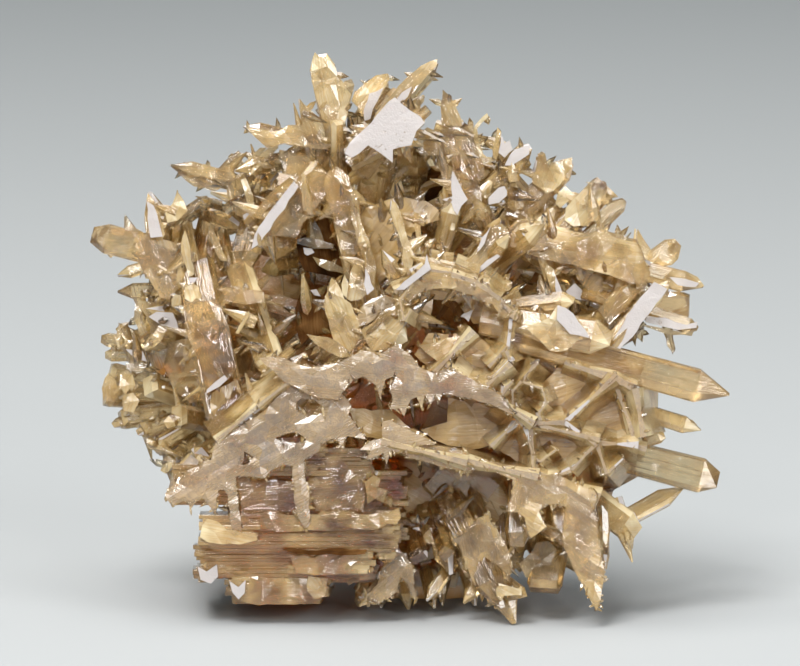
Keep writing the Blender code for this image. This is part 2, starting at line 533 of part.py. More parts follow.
def crystal_material():
    """Golden-brown translucent cerussite with an adamantine gloss."""
    material = bpy.data.materials.new("cerussite crystal")
    material.use_nodes = True
    shader = material.node_tree.nodes["Principled BSDF"]
    shader.inputs["Base Color"].default_value = CRYSTAL_COLOUR
    shader.inputs["Roughness"].default_value = CRYSTAL_ROUGHNESS
    shader.inputs["Metallic"].default_value = 0.0
    shader.inputs["IOR"].default_value = CRYSTAL_IOR
    material.diffuse_color = CRYSTAL_COLOUR
    return material


def build():
    """Build the whole specimen."""
    for item in list(bpy.data.objects):
        bpy.data.objects.remove(item)
    chance = random.Random(7)
    rows = TOP_LEFT + TOP_CENTRE + TOP_RIGHT + RIGHT + LEFT + CRUST + CENTRE
    rows += FRONT_BANDS + CELL_FLOORS + BOTTOM
    meshes = [rest_block(), heart()]
    meshes += [crystal(*row, 90, "blunt") for row in STOUT]
    meshes += [crystal(*row) for row in rows]
    meshes += [edge_plate(*row) for row in EDGE_PLATES]
    meshes += [slab(*row, chance) for row in SLABS]
    meshes += back_crystals(chance)
    collection = bpy.data.collections.new("cerussite cluster")
    bpy.context.scene.collection.children.link(collection)
    cluster = bpy.data.objects.new("cerussite", union(meshes, "cerussite"))
    collection.objects.link(cluster)
    cut_flat(cluster)
    keep_outer_skin(cluster.data)
    cluster.data.materials.clear()
    cluster.data.materials.append(crystal_material())
    return cluster


build()
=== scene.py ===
# %% [markdown]
# # A reticulated cerussite cluster
# Cerussite grows as flattened crystals, twinned at nearly 60 degrees. Where many of them grow
# through each other they make an open lattice of plates, cells and spikes, such as this one.
# This file dresses the solid model of the cluster: it rebuilds the same crystals with finer
# facets, lets small crystals grow on them, and gives them a see-through golden finish.
#
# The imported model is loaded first. It fixes the size and the place of everything that follows.

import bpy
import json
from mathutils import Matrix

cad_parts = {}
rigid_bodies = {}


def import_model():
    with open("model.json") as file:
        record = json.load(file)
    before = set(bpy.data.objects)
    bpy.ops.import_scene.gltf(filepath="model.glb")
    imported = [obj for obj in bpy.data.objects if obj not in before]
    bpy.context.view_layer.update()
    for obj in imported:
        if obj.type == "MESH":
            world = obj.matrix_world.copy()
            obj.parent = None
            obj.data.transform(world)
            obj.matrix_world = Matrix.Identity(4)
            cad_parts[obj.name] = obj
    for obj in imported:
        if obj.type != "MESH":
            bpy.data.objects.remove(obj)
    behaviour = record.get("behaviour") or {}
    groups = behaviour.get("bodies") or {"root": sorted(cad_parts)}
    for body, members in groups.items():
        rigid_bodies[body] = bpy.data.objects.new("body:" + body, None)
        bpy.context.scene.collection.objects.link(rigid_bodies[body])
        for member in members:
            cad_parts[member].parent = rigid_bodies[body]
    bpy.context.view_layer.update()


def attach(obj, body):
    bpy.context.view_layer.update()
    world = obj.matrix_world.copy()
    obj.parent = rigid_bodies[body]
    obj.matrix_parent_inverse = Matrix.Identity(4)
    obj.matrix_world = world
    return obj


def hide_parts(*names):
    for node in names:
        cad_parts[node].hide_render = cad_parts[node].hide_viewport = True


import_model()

# %% [markdown]
# ## Places on the specimen
# A natural specimen has no drawing, so its crystals are given as the front view shows them:
# across, up and towards the viewer, in millimetres. The front view looks down by eight degrees,
# and `place` turns such a triple into a point of the model. The lattice has three directions in
# the front view, 60 degrees apart, and everything that grows later follows them.

# %% Places and lattice directions
import json
import random
from math import atan2, cos, pi, radians, sin, sqrt

import bmesh
import bpy
import numpy as np
from mathutils import Matrix, Vector
from mathutils.geometry import delaunay_2d_cdt

MILLIMETRE = 0.001
VIEW_TILT = radians(8.0)
REST_CENTRE_ACROSS = 1.0
REST_CENTRE_DEPTH = -3.0
LATTICE = [radians(-18.0), radians(42.0), radians(102.0)]
LATTICE_LEAN = 0.12


def place(across, up, toward):
    """Turn a place in the tilted front view into a place on the specimen, in millimetres."""
    level = toward - REST_CENTRE_DEPTH
    rise = up * cos(VIEW_TILT) + toward * sin(VIEW_TILT)
    back = up * sin(VIEW_TILT) - level * cos(VIEW_TILT)
    return Vector((across - REST_CENTRE_ACROSS, back, rise))


def turn(across, up, toward):
    """Turn a direction of the front view into a direction on the specimen."""
    return place(across, up, toward) - place(0, 0, 0)


VIEWER = turn(0, 0, 1)
lattice_directions = [turn(cos(angle), sin(angle), LATTICE_LEAN).normalized() for angle in LATTICE]
print("lattice", [tuple(round(v, 2) for v in direction) for direction in lattice_directions])

# %% [markdown]
# ## One crystal
# A crystal here is a lath: a long flat prism with bevelled edges and a faceted tip. It could be
# a scaled cube with Bevel modifiers, but a convex hull round a few rings of corners gives every
# tip shape with one function, and a hull is always closed, which the later union needs. The
# bevels are real facets, because thin bright edges are what makes such crystals sparkle.
#
# Each corner of a face also gets a UV in millimetres, across and along the crystal, so that the
# growth lines in the finish can follow each crystal. Two numbers go with every face: `tone`
# varies the colour from crystal to crystal and is raised on narrow faces as a painted highlight,
# and `film` says how much dull film, partly a painted sheen, a front face carries. A film of 2
# paints a face mirror white as a painted reflection, and a film below nought marks cell floors
# and dark sheets of painted shade.

# %% One crystal as a convex hull
# Run of the point in widths, end edge as a share of the width, thickness at the end, root width
TIPS = {
    "spike": (2.6, 0.06, 0.08, 0.95),
    "blade": (0.95, 0.14, 0.20, 0.90),
    "chisel": (0.50, 0.50, 0.30, 0.92),
    "blunt": (0.22, 0.78, 0.62, 0.95),
}
LEAST_SHAFT = 0.3
EDGE_HEIGHT = 0.22
BROAD_FACE = 0.30
FLAT_ANGLE = radians(0.4)
FILM_AND_SHEEN_FACING = 0.80
NARROW_SHARE = 0.45
# Narrow faces get a lighter tone: a painted highlight along the edges.
NARROW_PAINTED_HIGHLIGHT = 0.55
# A share of small slivers that face the front is painted mirror white: painted glints.
GLINT_SHARE = 0.10
GLINT_AREA = 1.1
GLINT_FACING = 0.25
chance = random.Random(11)
toothed = []


def section(centre, wide, deep):
    """Eight corners of a flattened prism: two broad faces, bevels and two thin edge faces."""
    bevel = BROAD_FACE * min(1.0, deep.length / wide.length)
    edge = EDGE_HEIGHT / 2
    corners = []
    for side in (1, -1):
        for face in (1, -1):
            corners.append(centre + wide * 0.5 * side + deep * edge * face)
            corners.append(centre + wide * (0.5 - bevel) * side + deep * 0.5 * face)
    return corners


def hull(corners, origin, axis, wide, deep, tone, film):
    """Closed convex solid round the corners, with its growth lines along the axis."""
    shape = bmesh.new()
    for corner in corners:
        shape.verts.new(corner)
    made = bmesh.ops.convex_hull(shape, input=shape.verts)
    spare = [item for item in made["geom_interior"] if isinstance(item, bmesh.types.BMVert)]
    bmesh.ops.delete(shape, geom=spare, context="VERTS")
    bmesh.ops.recalc_face_normals(shape, faces=shape.faces)
    bmesh.ops.dissolve_limit(shape, angle_limit=FLAT_ANGLE, verts=shape.verts, edges=shape.edges)
    grain = shape.loops.layers.uv.new("grain")
    tones = shape.faces.layers.float.new("tone")
    films = shape.faces.layers.float.new("film")
    shift = tone * 37.0
    narrow = NARROW_SHARE * max(face.calc_area() for face in shape.faces)
    for face in shape.faces:
        # Narrow faces, the bevels and thin edges, get a lighter tone as a painted highlight.
        face[tones] = tone + NARROW_PAINTED_HIGHLIGHT * (face.calc_area() < narrow)
        # The film, a dull coat that is partly a painted sheen, lies only on faces turned to the front.
        face[films] = film if face.normal.dot(VIEWER) > FILM_AND_SHEEN_FACING else min(film, 0.0)
        # A few small slivers turned to the front are painted mirror white as painted glints.
        sliver = film > 0.0 and face.calc_area() < min(narrow, GLINT_AREA)
        if sliver and face.normal.dot(VIEWER) > GLINT_FACING and chance.random() < GLINT_SHARE:
            face[films] = 2.0
        for loop in face.loops:
            off = loop.vert.co - origin
            loop[grain].uv = (off.dot(wide) + off.dot(deep) + shift, off.dot(axis) + shift)
    shape.transform(Matrix.Scale(MILLIMETRE, 4))
    mesh = bpy.data.meshes.new("crystal")
    shape.to_mesh(mesh)
    shape.free()
    return mesh


def lath(start, end, wide, width, thickness, tip_kind, film=0.0, tone=None):
    """One flattened crystal with a faceted tip; its broad faces lie along the wide direction."""
    axis = (end - start).normalized()
    wide = (wide - axis * wide.dot(axis)).normalized()
    deep = axis.cross(wide)
    length = (end - start).length
    run, edge_share, end_thickness, root_share = TIPS[tip_kind]
    shoulder = max(length - run * width, length * LEAST_SHAFT)
    corners = section(start, wide * width * root_share, deep * thickness * root_share)
    corners += section(start + axis * shoulder, wide * width, deep * thickness)
    half_edge = wide * width * edge_share / 2
    half_end = deep * thickness * end_thickness / 2
    corners += [end + half_edge - half_end, end - half_edge + half_end]
    if tip_kind == "blunt":
        corners += [end + half_edge + half_end, end - half_edge - half_end]
    tone = chance.random() if tone is None else tone
    return hull(corners, start, axis, wide, deep, tone, film)


# %% [markdown]
# ## A crystal as parallel growth
# Look closely at one of these laths and it is a bundle: several thinner laths grew side by side,
# end at different lengths and leave grooves and steps between them. So each listed crystal is
# built as a core and a few strips that lie within it. The core keeps the form and the longest
# strip keeps the tip, so nothing leaves the outline of the solid model.

# %% Bundles of parallel laths
CORE_THICKNESS = 0.93
STRIP_WIDTHS = (0.22, 0.5)
STRIP_THICKNESSES = (0.85, 1.03)
STRIP_ENDS = (0.70, 0.985)
STRIP_SPACING = 1.1
TIP_SET = ("blade", "chisel", "blade", "spike")


def bundle(start, end, wide, width, thickness, tip_kind, film=0.0, tone=None):
    """One listed crystal as a core lath and thinner laths that grew parallel to it."""
    axis = (end - start).normalized()
    wide = (wide - axis * wide.dot(axis)).normalized()
    deep = axis.cross(wide)
    length = (end - start).length
    tone = chance.random() if tone is None else tone
    meshes = [lath(start, end, wide, width, thickness * CORE_THICKNESS, tip_kind, film, tone)]
    strips = max(1, min(5, round(width / STRIP_SPACING)))
    for index in range(strips):
        share = chance.uniform(*STRIP_WIDTHS)
        across = ((index + chance.uniform(0.2, 0.8)) / strips - 0.5) * (1.0 - share) * width
        through = chance.uniform(-0.08, 0.08) * thickness
        shift = wide * across + deep * through
        reach = length * chance.uniform(*STRIP_ENDS)
        thick = thickness * chance.uniform(*STRIP_THICKNESSES)
        kind = chance.choice(TIP_SET)
        strip_end = start + axis * reach + shift
        strip_tone = tone + chance.uniform(-0.12, 0.12)
        strip_start = start + axis * 0.05 * length + shift
        meshes.append(lath(strip_start, strip_end, wide, share * width, thick, kind, film, strip_tone))
    return meshes


def front_crystal(film, root, tip, width, thickness, turned, tip_kind, tone=None):
    """One crystal of the front, placed in the front view and turned about its axis."""
    start = place(*root)
    end = place(*tip)
    axis = (end - start).normalized()
    wide = axis.cross(VIEWER)
    wide.rotate(Matrix.Rotation(radians(turned), 3, axis))
    return bundle(start, end, wide, width, thickness, tip_kind, film, tone)


# %% [markdown]
# ## The listed crystals
# These rows say where each crystal of the front stands: root, tip, width, thickness, turn about
# its own axis in degrees, and the shape of its tip. They are the rows of the solid model, kept
# in the same order and regions.

# %% Crystals of the top
TOP_LEFT = [
    ((-7.5, 41.0, 4.0), (-9.9, 53.7, 7.0), 2.6, 1.9, 20, "chisel", 0.8),
    ((-9.6, 42.0, 6.0), (-12.0, 49.3, 8.0), 1.9, 1.3, 15, "spike"),
    ((-7.5, 44.3, 5.0), (-17.5, 46.6, 7.0), 1.6, 1.2, -25, "blade"),
    ((-8.0, 44.4, 5.0), (-18.3, 42.2, 8.0), 2.0, 1.3, -30, "blade"),
    ((-12.5, 39.6, 4.0), (-24.8, 42.8, 6.0), 2.1, 1.4, -35, "blade"),
    ((-8.2, 42.0, 8.0), (-8.2, 47.1, 10.0), 1.4, 1.2, 30, "blunt"),
    ((-9.4, 42.0, 7.0), (-15.0, 34.0, 11.0), 4.4, 1.4, -30, "chisel"),
    ((-8.8, 43.5, 6.0), (-5.6, 30.0, 13.0), 2.8, 2.2, 20, "blade"),
    ((-13.0, 37.0, 3.0), (-7.0, 45.0, 8.0), 2.6, 1.8, 60, "chisel"),
    ((-19.0, 36.5, 2.0), (-15.5, 43.0, 6.0), 2.4, 1.6, 70, "chisel"),
    ((-15.5, 41.4, 3.0), (-17.6, 32.5, 8.0), 3.2, 1.8, 30, "chisel"),
    ((-19.0, 26.0, 2.0), (-28.5, 25.5, 2.5), 3.4, 2.6, 20, "chisel"),
    ((-16.4, 41.2, 4.0), (-18.9, 43.9, 4.0), 1.0, 0.8, 0, "chisel"),
]

TOP_CENTRE = [
    ((-8.0, 43.5, 5.0), (-3.2, 51.9, 3.0), 2.0, 1.4, -20, "blade"),
    ((-6.0, 44.0, 5.0), (1.7, 53.0, 5.0), 1.7, 1.1, 25, "blade"),
    ((-6.8, 42.6, 8.0), (-1.2, 49.3, 7.0), 4.6, 1.5, -15, "blunt"),
    ((-7.2, 43.3, 8.5), (0.4, 47.2, 8.5), 3.0, 1.4, -15, "blade"),
    ((4.6, 38.5, 4.0), (3.3, 47.2, 6.0), 3.4, 2.3, 15, "chisel"),
    ((3.4, 45.0, 6.0), (2.3, 50.2, 6.5), 2.2, 1.5, -10, "spike"),
    ((8.9, 39.5, 4.0), (7.7, 46.4, 4.0), 2.0, 1.3, 10, "spike"),
    ((6.2, 40.2, 5.0), (10.9, 44.7, 6.0), 2.0, 1.4, -30, "chisel"),
    ((6.4, 40.6, 7.0), (10.7, 43.3, 7.0), 1.3, 1.1, 0, "blunt"),
    ((-2.6, 42.6, 2.0), (2.8, 46.0, 4.0), 2.3, 1.3, -25, "chisel"),
    ((-6.0, 38.5, 4.0), (8.5, 43.0, 2.0), 3.4, 2.2, 75, "chisel"),
    ((0.5, 36.5, 5.0), (9.5, 42.0, 4.0), 2.8, 1.8, 65, "chisel"),
    ((-6.0, 36.0, 3.0), (-4.4, 46.2, 7.0), 5.0, 3.2, 15, "chisel"),
    ((-2.0, 36.0, 2.0), (-0.8, 45.0, 5.0), 4.0, 2.6, -15, "chisel"),
    ((2.0, 34.0, 6.0), (7.0, 41.2, 8.0), 2.4, 1.7, 30, "blade"),
    ((6.5, 34.5, 6.0), (3.4, 41.5, 9.0), 2.2, 1.6, -20, "blade"),
    ((-3.0, 29.0, 4.0), (-2.2, 41.5, 7.0), 2.6, 1.9, 30, "blade"),
    ((1.0, 30.5, 8.0), (3.6, 40.0, 8.5), 2.2, 1.6, 20, "blade"),
    ((-4.4, 45.4, 5.6), (0.4, 49.7, 6.0), 1.5, 1.1, 30, "blade"),
    ((3.7, 38.0, 6.0), (3.2, 42.1, 12.5), 1.2, 0.9, 30, "spike"),
]

TOP_RIGHT = [
    ((12.8, 34.5, 7.0), (11.8, 44.0, 6.0), 2.1, 1.6, 25, "blade"),
    ((9.4, 37.6, 7.0), (14.8, 43.1, 7.0), 2.6, 1.7, -25, "chisel"),
    ((12.4, 34.6, 8.0), (18.3, 40.8, 8.0), 2.7, 1.9, -20, "blunt"),
    ((15.4, 34.6, 9.0), (20.1, 39.3, 9.0), 1.6, 1.1, -25, "chisel"),
    ((21.6, 28.6, 8.5), (21.2, 36.5, 8.0), 1.6, 1.2, 20, "spike"),
    ((18.6, 30.4, 6.5), (25.4, 35.2, 7.0), 1.8, 1.2, -15, "chisel"),
    ((3.6, 31.0, 7.0), (7.8, 37.4, 13.0), 1.4, 1.1, 20, "blade"),
    ((4.2, 30.4, 9.0), (8.6, 35.7, 15.0), 1.4, 1.1, 20, "blade"),
    ((5.6, 32.0, 8.0), (12.2, 37.1, 13.5), 2.6, 1.5, -10, "blade"),
    ((5.0, 37.0, 5.0), (16.5, 31.5, 9.0), 3.2, 2.0, 70, "chisel"),
    ((8.0, 42.0, 3.0), (15.5, 33.5, 4.0), 3.0, 2.2, 60, "chisel"),
    ((8.5, 32.5, 6.0), (5.4, 39.4, 11.0), 2.1, 1.5, 20, "blade"),
    ((10.5, 32.5, 5.0), (9.2, 41.0, 8.0), 2.6, 1.8, 30, "blade"),
    ((7.0, 30.0, 3.0), (14.4, 38.4, 7.0), 5.0, 3.6, 60, "chisel"),
    ((7.5, 33.2, 2.0), (21.0, 33.4, 8.0), 4.4, 2.6, 40, "chisel"),
    ((8.0, 25.6, 3.0), (21.5, 27.0, 9.0), 4.6, 2.8, 40, "chisel"),
    ((8.0, 21.0, 3.0), (22.0, 18.0, 9.0), 4.6, 3.4, 40, "chisel"),
    ((7.0, 12.0, 3.0), (21.0, 13.0, 10.0), 4.6, 3.4, 60, "chisel"),
]

# %% Crystals of the sides
RIGHT = [
    ((9.5, 36.0, 9.0), (22.6, 33.0, 10.0), 3.5, 1.8, -20, "blade"),
    ((17.5, 33.6, 9.0), (27.8, 30.7, 10.0), 2.3, 1.4, -30, "blade"),
    ((17.2, 23.6, 14.0), (24.2, 31.4, 13.0), 2.0, 1.0, -35, "blade"),
    ((20.0, 33.0, 9.0), (17.6, 26.0, 10.0), 2.4, 1.4, 55, "chisel"),
    ((17.6, 29.3, 8.0), (26.5, 28.9, 9.0), 2.6, 1.5, 15, "blunt"),
    ((16.0, 30.3, 10.0), (27.2, 26.6, 11.5), 1.8, 1.3, -40, "chisel"),
    ((6.0, 27.6, 14.0), (18.6, 25.6, 15.5), 3.6, 2.8, -25, "chisel"),
    ((8.0, 28.6, 13.0), (15.0, 29.4, 15.0), 2.2, 1.8, -40, "chisel"),
    ((9.0, 26.0, 15.0), (30.2, 20.2, 13.5), 3.5, 2.0, -25, "blade", 0.1),
    ((16.0, 20.3, 12.0), (27.5, 16.7, 12.0), 1.8, 1.2, -25, "blade"),
    ((17.5, 14.8, 12.0), (29.2, 11.8, 12.0), 3.5, 1.3, -15, "chisel", -0.1),
    ((18.6, 7.2, 13.0), (26.0, 11.2, 11.5), 2.6, 0.9, -55, "blade"),
    ((15.5, 11.0, 13.0), (21.2, 6.6, 14.0), 3.0, 1.3, 20, "chisel"),
    ((21.8, 30.2, 6.0), (12.0, 33.0, 4.0), 3.0, 2.0, 60, "chisel"),
    ((20.5, 26.6, 6.0), (10.0, 30.5, 3.0), 3.0, 2.0, 65, "chisel"),
    ((24.1, 27.4, 11.0), (24.8, 24.1, 11.0), 1.0, 0.8, 0, "spike"),
    ((18.8, 10.0, 13.5), (20.7, 3.8, 14.0), 2.0, 1.2, 15, "spike"),
    ((19.4, 14.6, 13.0), (23.9, 16.2, 13.0), 1.2, 0.9, 0, "chisel"),
]

LEFT = [
    ((-24.0, 33.6, 2.0), (-32.7, 36.0, 2.0), 3.0, 2.1, 10, "chisel"),
    ((-25.2, 34.0, 2.0), (-26.8, 40.2, 5.0), 1.9, 1.4, 25, "blade"),
    ((-24.4, 35.0, 2.5), (-24.1, 40.4, 4.0), 1.6, 1.2, 15, "spike"),
    ((-25.0, 37.0, 4.0), (-21.0, 39.6, 4.0), 1.2, 1.0, 0, "chisel"),
    ((-22.6, 38.6, 2.8), (-17.5, 36.6, 6.0), 1.6, 1.2, 20, "blade"),
    ((-23.4, 37.6, 2.5), (-22.2, 31.0, 7.0), 1.5, 1.2, 30, "blade"),
    ((-20.4, 38.6, 0.5), (-18.9, 31.8, 6.4), 1.7, 1.3, 30, "blade"),
    ((-26.0, 33.2, 3.0), (-30.1, 31.9, 3.0), 1.3, 1.0, 10, "blade"),
    ((-23.5, 30.6, 2.6), (-30.1, 30.3, 3.0), 1.6, 1.1, 0, "blade"),
    ((-24.5, 36.5, 0.0), (-25.0, 22.0, 3.0), 5.0, 3.2, 10, "chisel"),
    ((-20.5, 39.0, 2.0), (-23.0, 27.5, 5.0), 3.0, 2.2, 40, "chisel"),
    ((-22.0, 27.5, 4.0), (-27.2, 28.6, 6.5), 1.8, 1.4, -30, "blade"),
    ((-22.4, 27.4, 3.0), (-27.3, 24.6, 6.0), 2.0, 1.4, 20, "blade"),
    ((-22.2, 33.0, 7.0), (-18.6, 16.6, 13.5), 4.2, 1.7, 15, "chisel", 0.2),
    ((-18.0, 33.0, 7.0), (-14.0, 21.0, 12.0), 3.2, 1.6, 25, "blade"),
    ((-27.0, 25.0, 2.0), (-31.8, 25.6, 2.0), 1.4, 1.1, 10, "chisel"),
    ((-27.0, 24.0, 2.0), (-31.4, 24.0, 2.0), 1.3, 1.1, 0, "chisel"),
    ((-28.0, 34.8, 2.0), (-29.4, 38.0, 2.0), 1.3, 0.9, 0, "spike"),
    ((-26.6, 24.6, 1.6), (-30.1, 27.2, 1.6), 1.5, 1.1, 0, "spike"),
]

CRUST = [
    ((-24.5, 20.5, -1.0), (-31.0, 22.3, 0.5), 2.8, 2.6, 0, "blunt"),
    ((-24.5, 19.5, 0.0), (-31.5, 20.0, 2.0), 3.0, 2.8, 20, "blunt"),
    ((-24.0, 18.5, 1.0), (-29.8, 17.6, 3.0), 2.8, 2.6, 10, "blunt"),
    ((-23.0, 18.0, 2.0), (-27.6, 16.4, 4.0), 2.6, 2.6, 30, "blunt"),
    ((-22.5, 17.0, 2.0), (-26.0, 14.8, 5.0), 2.6, 2.4, 0, "blunt"),
    ((-22.0, 15.5, 2.0), (-25.0, 13.0, 5.0), 2.6, 2.4, 25, "blunt"),
    ((-22.0, 19.0, 1.0), (-27.0, 21.0, 6.0), 3.2, 2.6, 40, "blunt"),
    ((-21.0, 17.5, 3.0), (-24.0, 18.0, 9.0), 3.2, 2.6, 10, "blunt"),
    ((-20.0, 15.0, 4.0), (-22.0, 13.8, 11.0), 3.0, 2.4, 10, "chisel"),
]

# %% Crystals of the middle and the bottom
CENTRE = [
    ((-5.6, 20.6, 4.0), (-8.5, 31.6, 15.0), 2.9, 2.1, 20, "spike"),
    ((-6.0, 28.6, 13.0), (-6.4, 33.4, 14.0), 1.7, 1.2, 15, "spike"),
    ((-4.6, 28.6, 13.0), (-5.4, 33.8, 14.0), 1.4, 1.0, 15, "spike"),
    ((-1.0, 31.5, 11.0), (-2.8, 39.4, 12.0), 1.1, 0.9, 30, "blade"),
    ((-4.2, 29.5, 12.0), (-5.9, 36.4, 14.0), 1.3, 0.9, 30, "blade"),
    ((-1.4, 30.0, 14.0), (-3.8, 34.3, 16.0), 1.5, 1.1, -20, "blade"),
    ((-2.4, 29.6, 14.0), (0.2, 33.0, 16.5), 1.5, 1.1, 10, "blade"),
    ((-9.0, 33.8, 0.0), (-15.6, 32.4, 10.4), 1.9, 1.4, 10, "blade"),
    ((1.0, 35.0, 8.0), (-2.5, 27.0, 15.0), 3.0, 2.2, 20, "chisel"),
    ((-8.0, 34.5, 6.0), (-2.0, 25.0, 15.0), 3.2, 2.4, 20, "chisel"),
    ((0.0, 31.0, 12.0), (0.8, 35.0, 16.0), 1.3, 0.9, 20, "spike"),
]

FRONT_BANDS = [
    ((-11.5, 21.0, 15.0), (-20.0, 14.6, 14.2), 3.6, 2.0, -20, "blade"),
    ((-1.2, 3.8, 12.0), (-6.0, -0.5, 14.0), 1.9, 1.4, 20, "spike"),
    ((-21.5, 13.5, 12.0), (-24.0, 10.4, 12.0), 3.4, 2.0, 20, "chisel"),
]

CELL_FLOORS = [
    ((11.0, 21.5, 11.0), (18.0, 17.0, 11.5), 5.0, 1.2, 10, "chisel"),
    ((1.0, 18.5, 9.0), (11.0, 14.0, 10.0), 4.6, 1.3, 10, "chisel"),
    ((2.5, 30.5, 8.0), (7.5, 22.5, 9.0), 6.0, 1.4, 20, "chisel"),
    ((-2.5, 13.5, 5.0), (1.5, 4.0, 6.0), 6.0, 1.8, 10, "chisel"),
    ((2.0, 13.0, 10.0), (8.5, 7.5, 10.0), 6.0, 1.6, 10, "chisel"),
    ((-13.0, 20.0, 12.0), (-19.0, 18.0, 10.0), 5.0, 1.4, 10, "chisel"),
    ((11.0, 15.0, 9.0), (18.0, 12.5, 10.0), 4.4, 1.5, 10, "chisel"),
    ((16.5, 21.5, 11.0), (20.5, 15.0, 11.0), 3.6, 1.2, 10, "chisel"),
]

BOTTOM = [
    ((-0.4, 6.5, 8.5), (-3.6, 3.2, 14.5), 2.8, 2.1, 15, "blunt"),
    ((-2.0, 5.0, 11.5), (-0.5, 0.1, 15.0), 1.4, 1.0, 0, "spike"),
    ((1.2, 8.0, 11.0), (3.0, 2.6, 13.5), 2.2, 1.4, 25, "blade"),
    ((2.6, 10.0, 10.8), (8.0, -0.5, 16.5), 3.0, 2.0, 15, "blade"),
    ((5.0, 10.0, 10.5), (9.1, -2.1, 16.0), 2.4, 1.8, 30, "blade"),
    ((6.2, 3.4, 13.0), (10.0, 0.5, 17.0), 1.8, 1.2, -30, "chisel"),
    ((-1.0, 8.0, 9.0), (-0.2, 4.2, 14.5), 2.0, 1.6, 20, "blunt"),
    ((1.0, 8.6, 9.0), (2.6, 4.6, 14.8), 1.7, 1.4, 30, "blunt"),
    ((13.8, 10.0, 9.0), (12.0, 1.1, 15.0), 3.5, 1.6, 15, "blunt"),
    ((15.0, 13.0, 13.5), (17.2, -0.8, 15.5), 3.4, 2.2, 20, "spike"),
    ((17.6, 10.5, 13.0), (17.8, 2.2, 15.0), 1.8, 1.3, 35, "spike"),
    ((9.8, 13.0, 13.0), (9.4, 5.4, 15.5), 2.4, 1.7, 15, "chisel"),
    ((13.2, 12.4, 13.5), (14.2, 5.6, 15.0), 2.2, 1.6, 15, "chisel"),
    ((10.8, 12.5, 15.0), (10.6, 6.2, 17.0), 1.3, 1.0, 30, "blade"),
    ((7.6, 12.0, 8.0), (8.6, 3.0, 11.0), 4.4, 2.0, 20, "chisel"),
    ((12.5, 11.0, 6.0), (12.8, 3.2, 9.0), 5.0, 2.4, 10, "chisel"),
    ((1.8, 11.0, 2.5), (0.9, 5.6, 12.5), 4.6, 3.2, 20, "chisel"),
    ((12.8, 4.6, 9.5), (16.6, 2.8, 12.5), 1.3, 1.0, 0, "blade"),
    ((6.6, 3.0, 13.0), (4.2, -0.2, 14.5), 1.4, 1.0, 10, "blade"),
    ((4.0, 10.0, 5.0), (5.5, 2.5, 12.5), 4.0, 2.6, 20, "chisel"),
    ((0.5, 10.0, 4.0), (-1.0, 4.0, 12.0), 3.6, 2.4, 30, "chisel"),
    ((3.6, 4.2, 11.0), (0.6, 0.0, 13.0), 1.3, 0.9, 10, "blade"),
    ((15.0, 13.0, 7.0), (16.2, 4.8, 12.0), 4.6, 2.8, 20, "chisel"),
    ((10.2, 8.0, 14.5), (14.2, 6.0, 16.5), 1.3, 1.0, 0, "blade"),
]

STOUT = [
    ((-22.0, 31.5, -3.0), (17.0, 19.5, -1.0), 17.0, 9.5),
    ((-17.0, 40.0, -4.0), (11.5, 33.0, -3.5), 12.0, 6.5),
    ((-20.0, 19.0, -1.0), (19.0, 9.5, 0.0), 14.0, 8.0),
]

# %% [markdown]
# ## Small crystals that the solid model leaves out
# Besides the large crystals the outline has many points under a millimetre or two wide. They
# are too fine for the solid, and each one here has its own row in the same form.

# %% Small listed crystals
SMALL = [
    ((-14.5, 42.2, 5.0), (-16.4, 40.1, 6.5), 1.4, 0.7, 20, "blade"),
    ((-15.0, 41.5, 5.5), (-16.0, 40.0, 7.0), 1.2, 0.6, 0, "spike"),
    ((-5.0, 2.6, 8.0), (-6.2, -0.7, 9.6), 1.4, 0.9, 10, "blade", 0.0),
    ((-3.0, 3.0, 8.0), (-3.9, -0.8, 10.0), 1.5, 0.9, 20, "blade", -0.1),
    ((-1.6, 3.0, 8.0), (-1.2, -1.0, 10.0), 1.6, 1.0, 0, "blade", 0.1),
    ((0.4, 3.0, 8.0), (1.4, -0.9, 10.0), 1.5, 0.9, 30, "blade", 0.0),
    ((2.4, 3.0, 8.0), (2.2, -0.7, 10.0), 1.4, 0.9, 10, "spike", -0.1),
    ((4.4, 3.0, 8.0), (5.4, -0.6, 10.0), 1.5, 0.9, 20, "blade", 0.1),
]

# %% [markdown]
# ## Plates that stand on edge
# A net of thin walls runs across the front. Each wall is a plate that runs back into the
# cluster, so that only its thin front edge shows. Where walls meet they widen, so each is made
# of two tapered hulls: wide at its nodes and thin in between. The hulls of neighbours overlap
# at a node, and the later union turns them into a star.

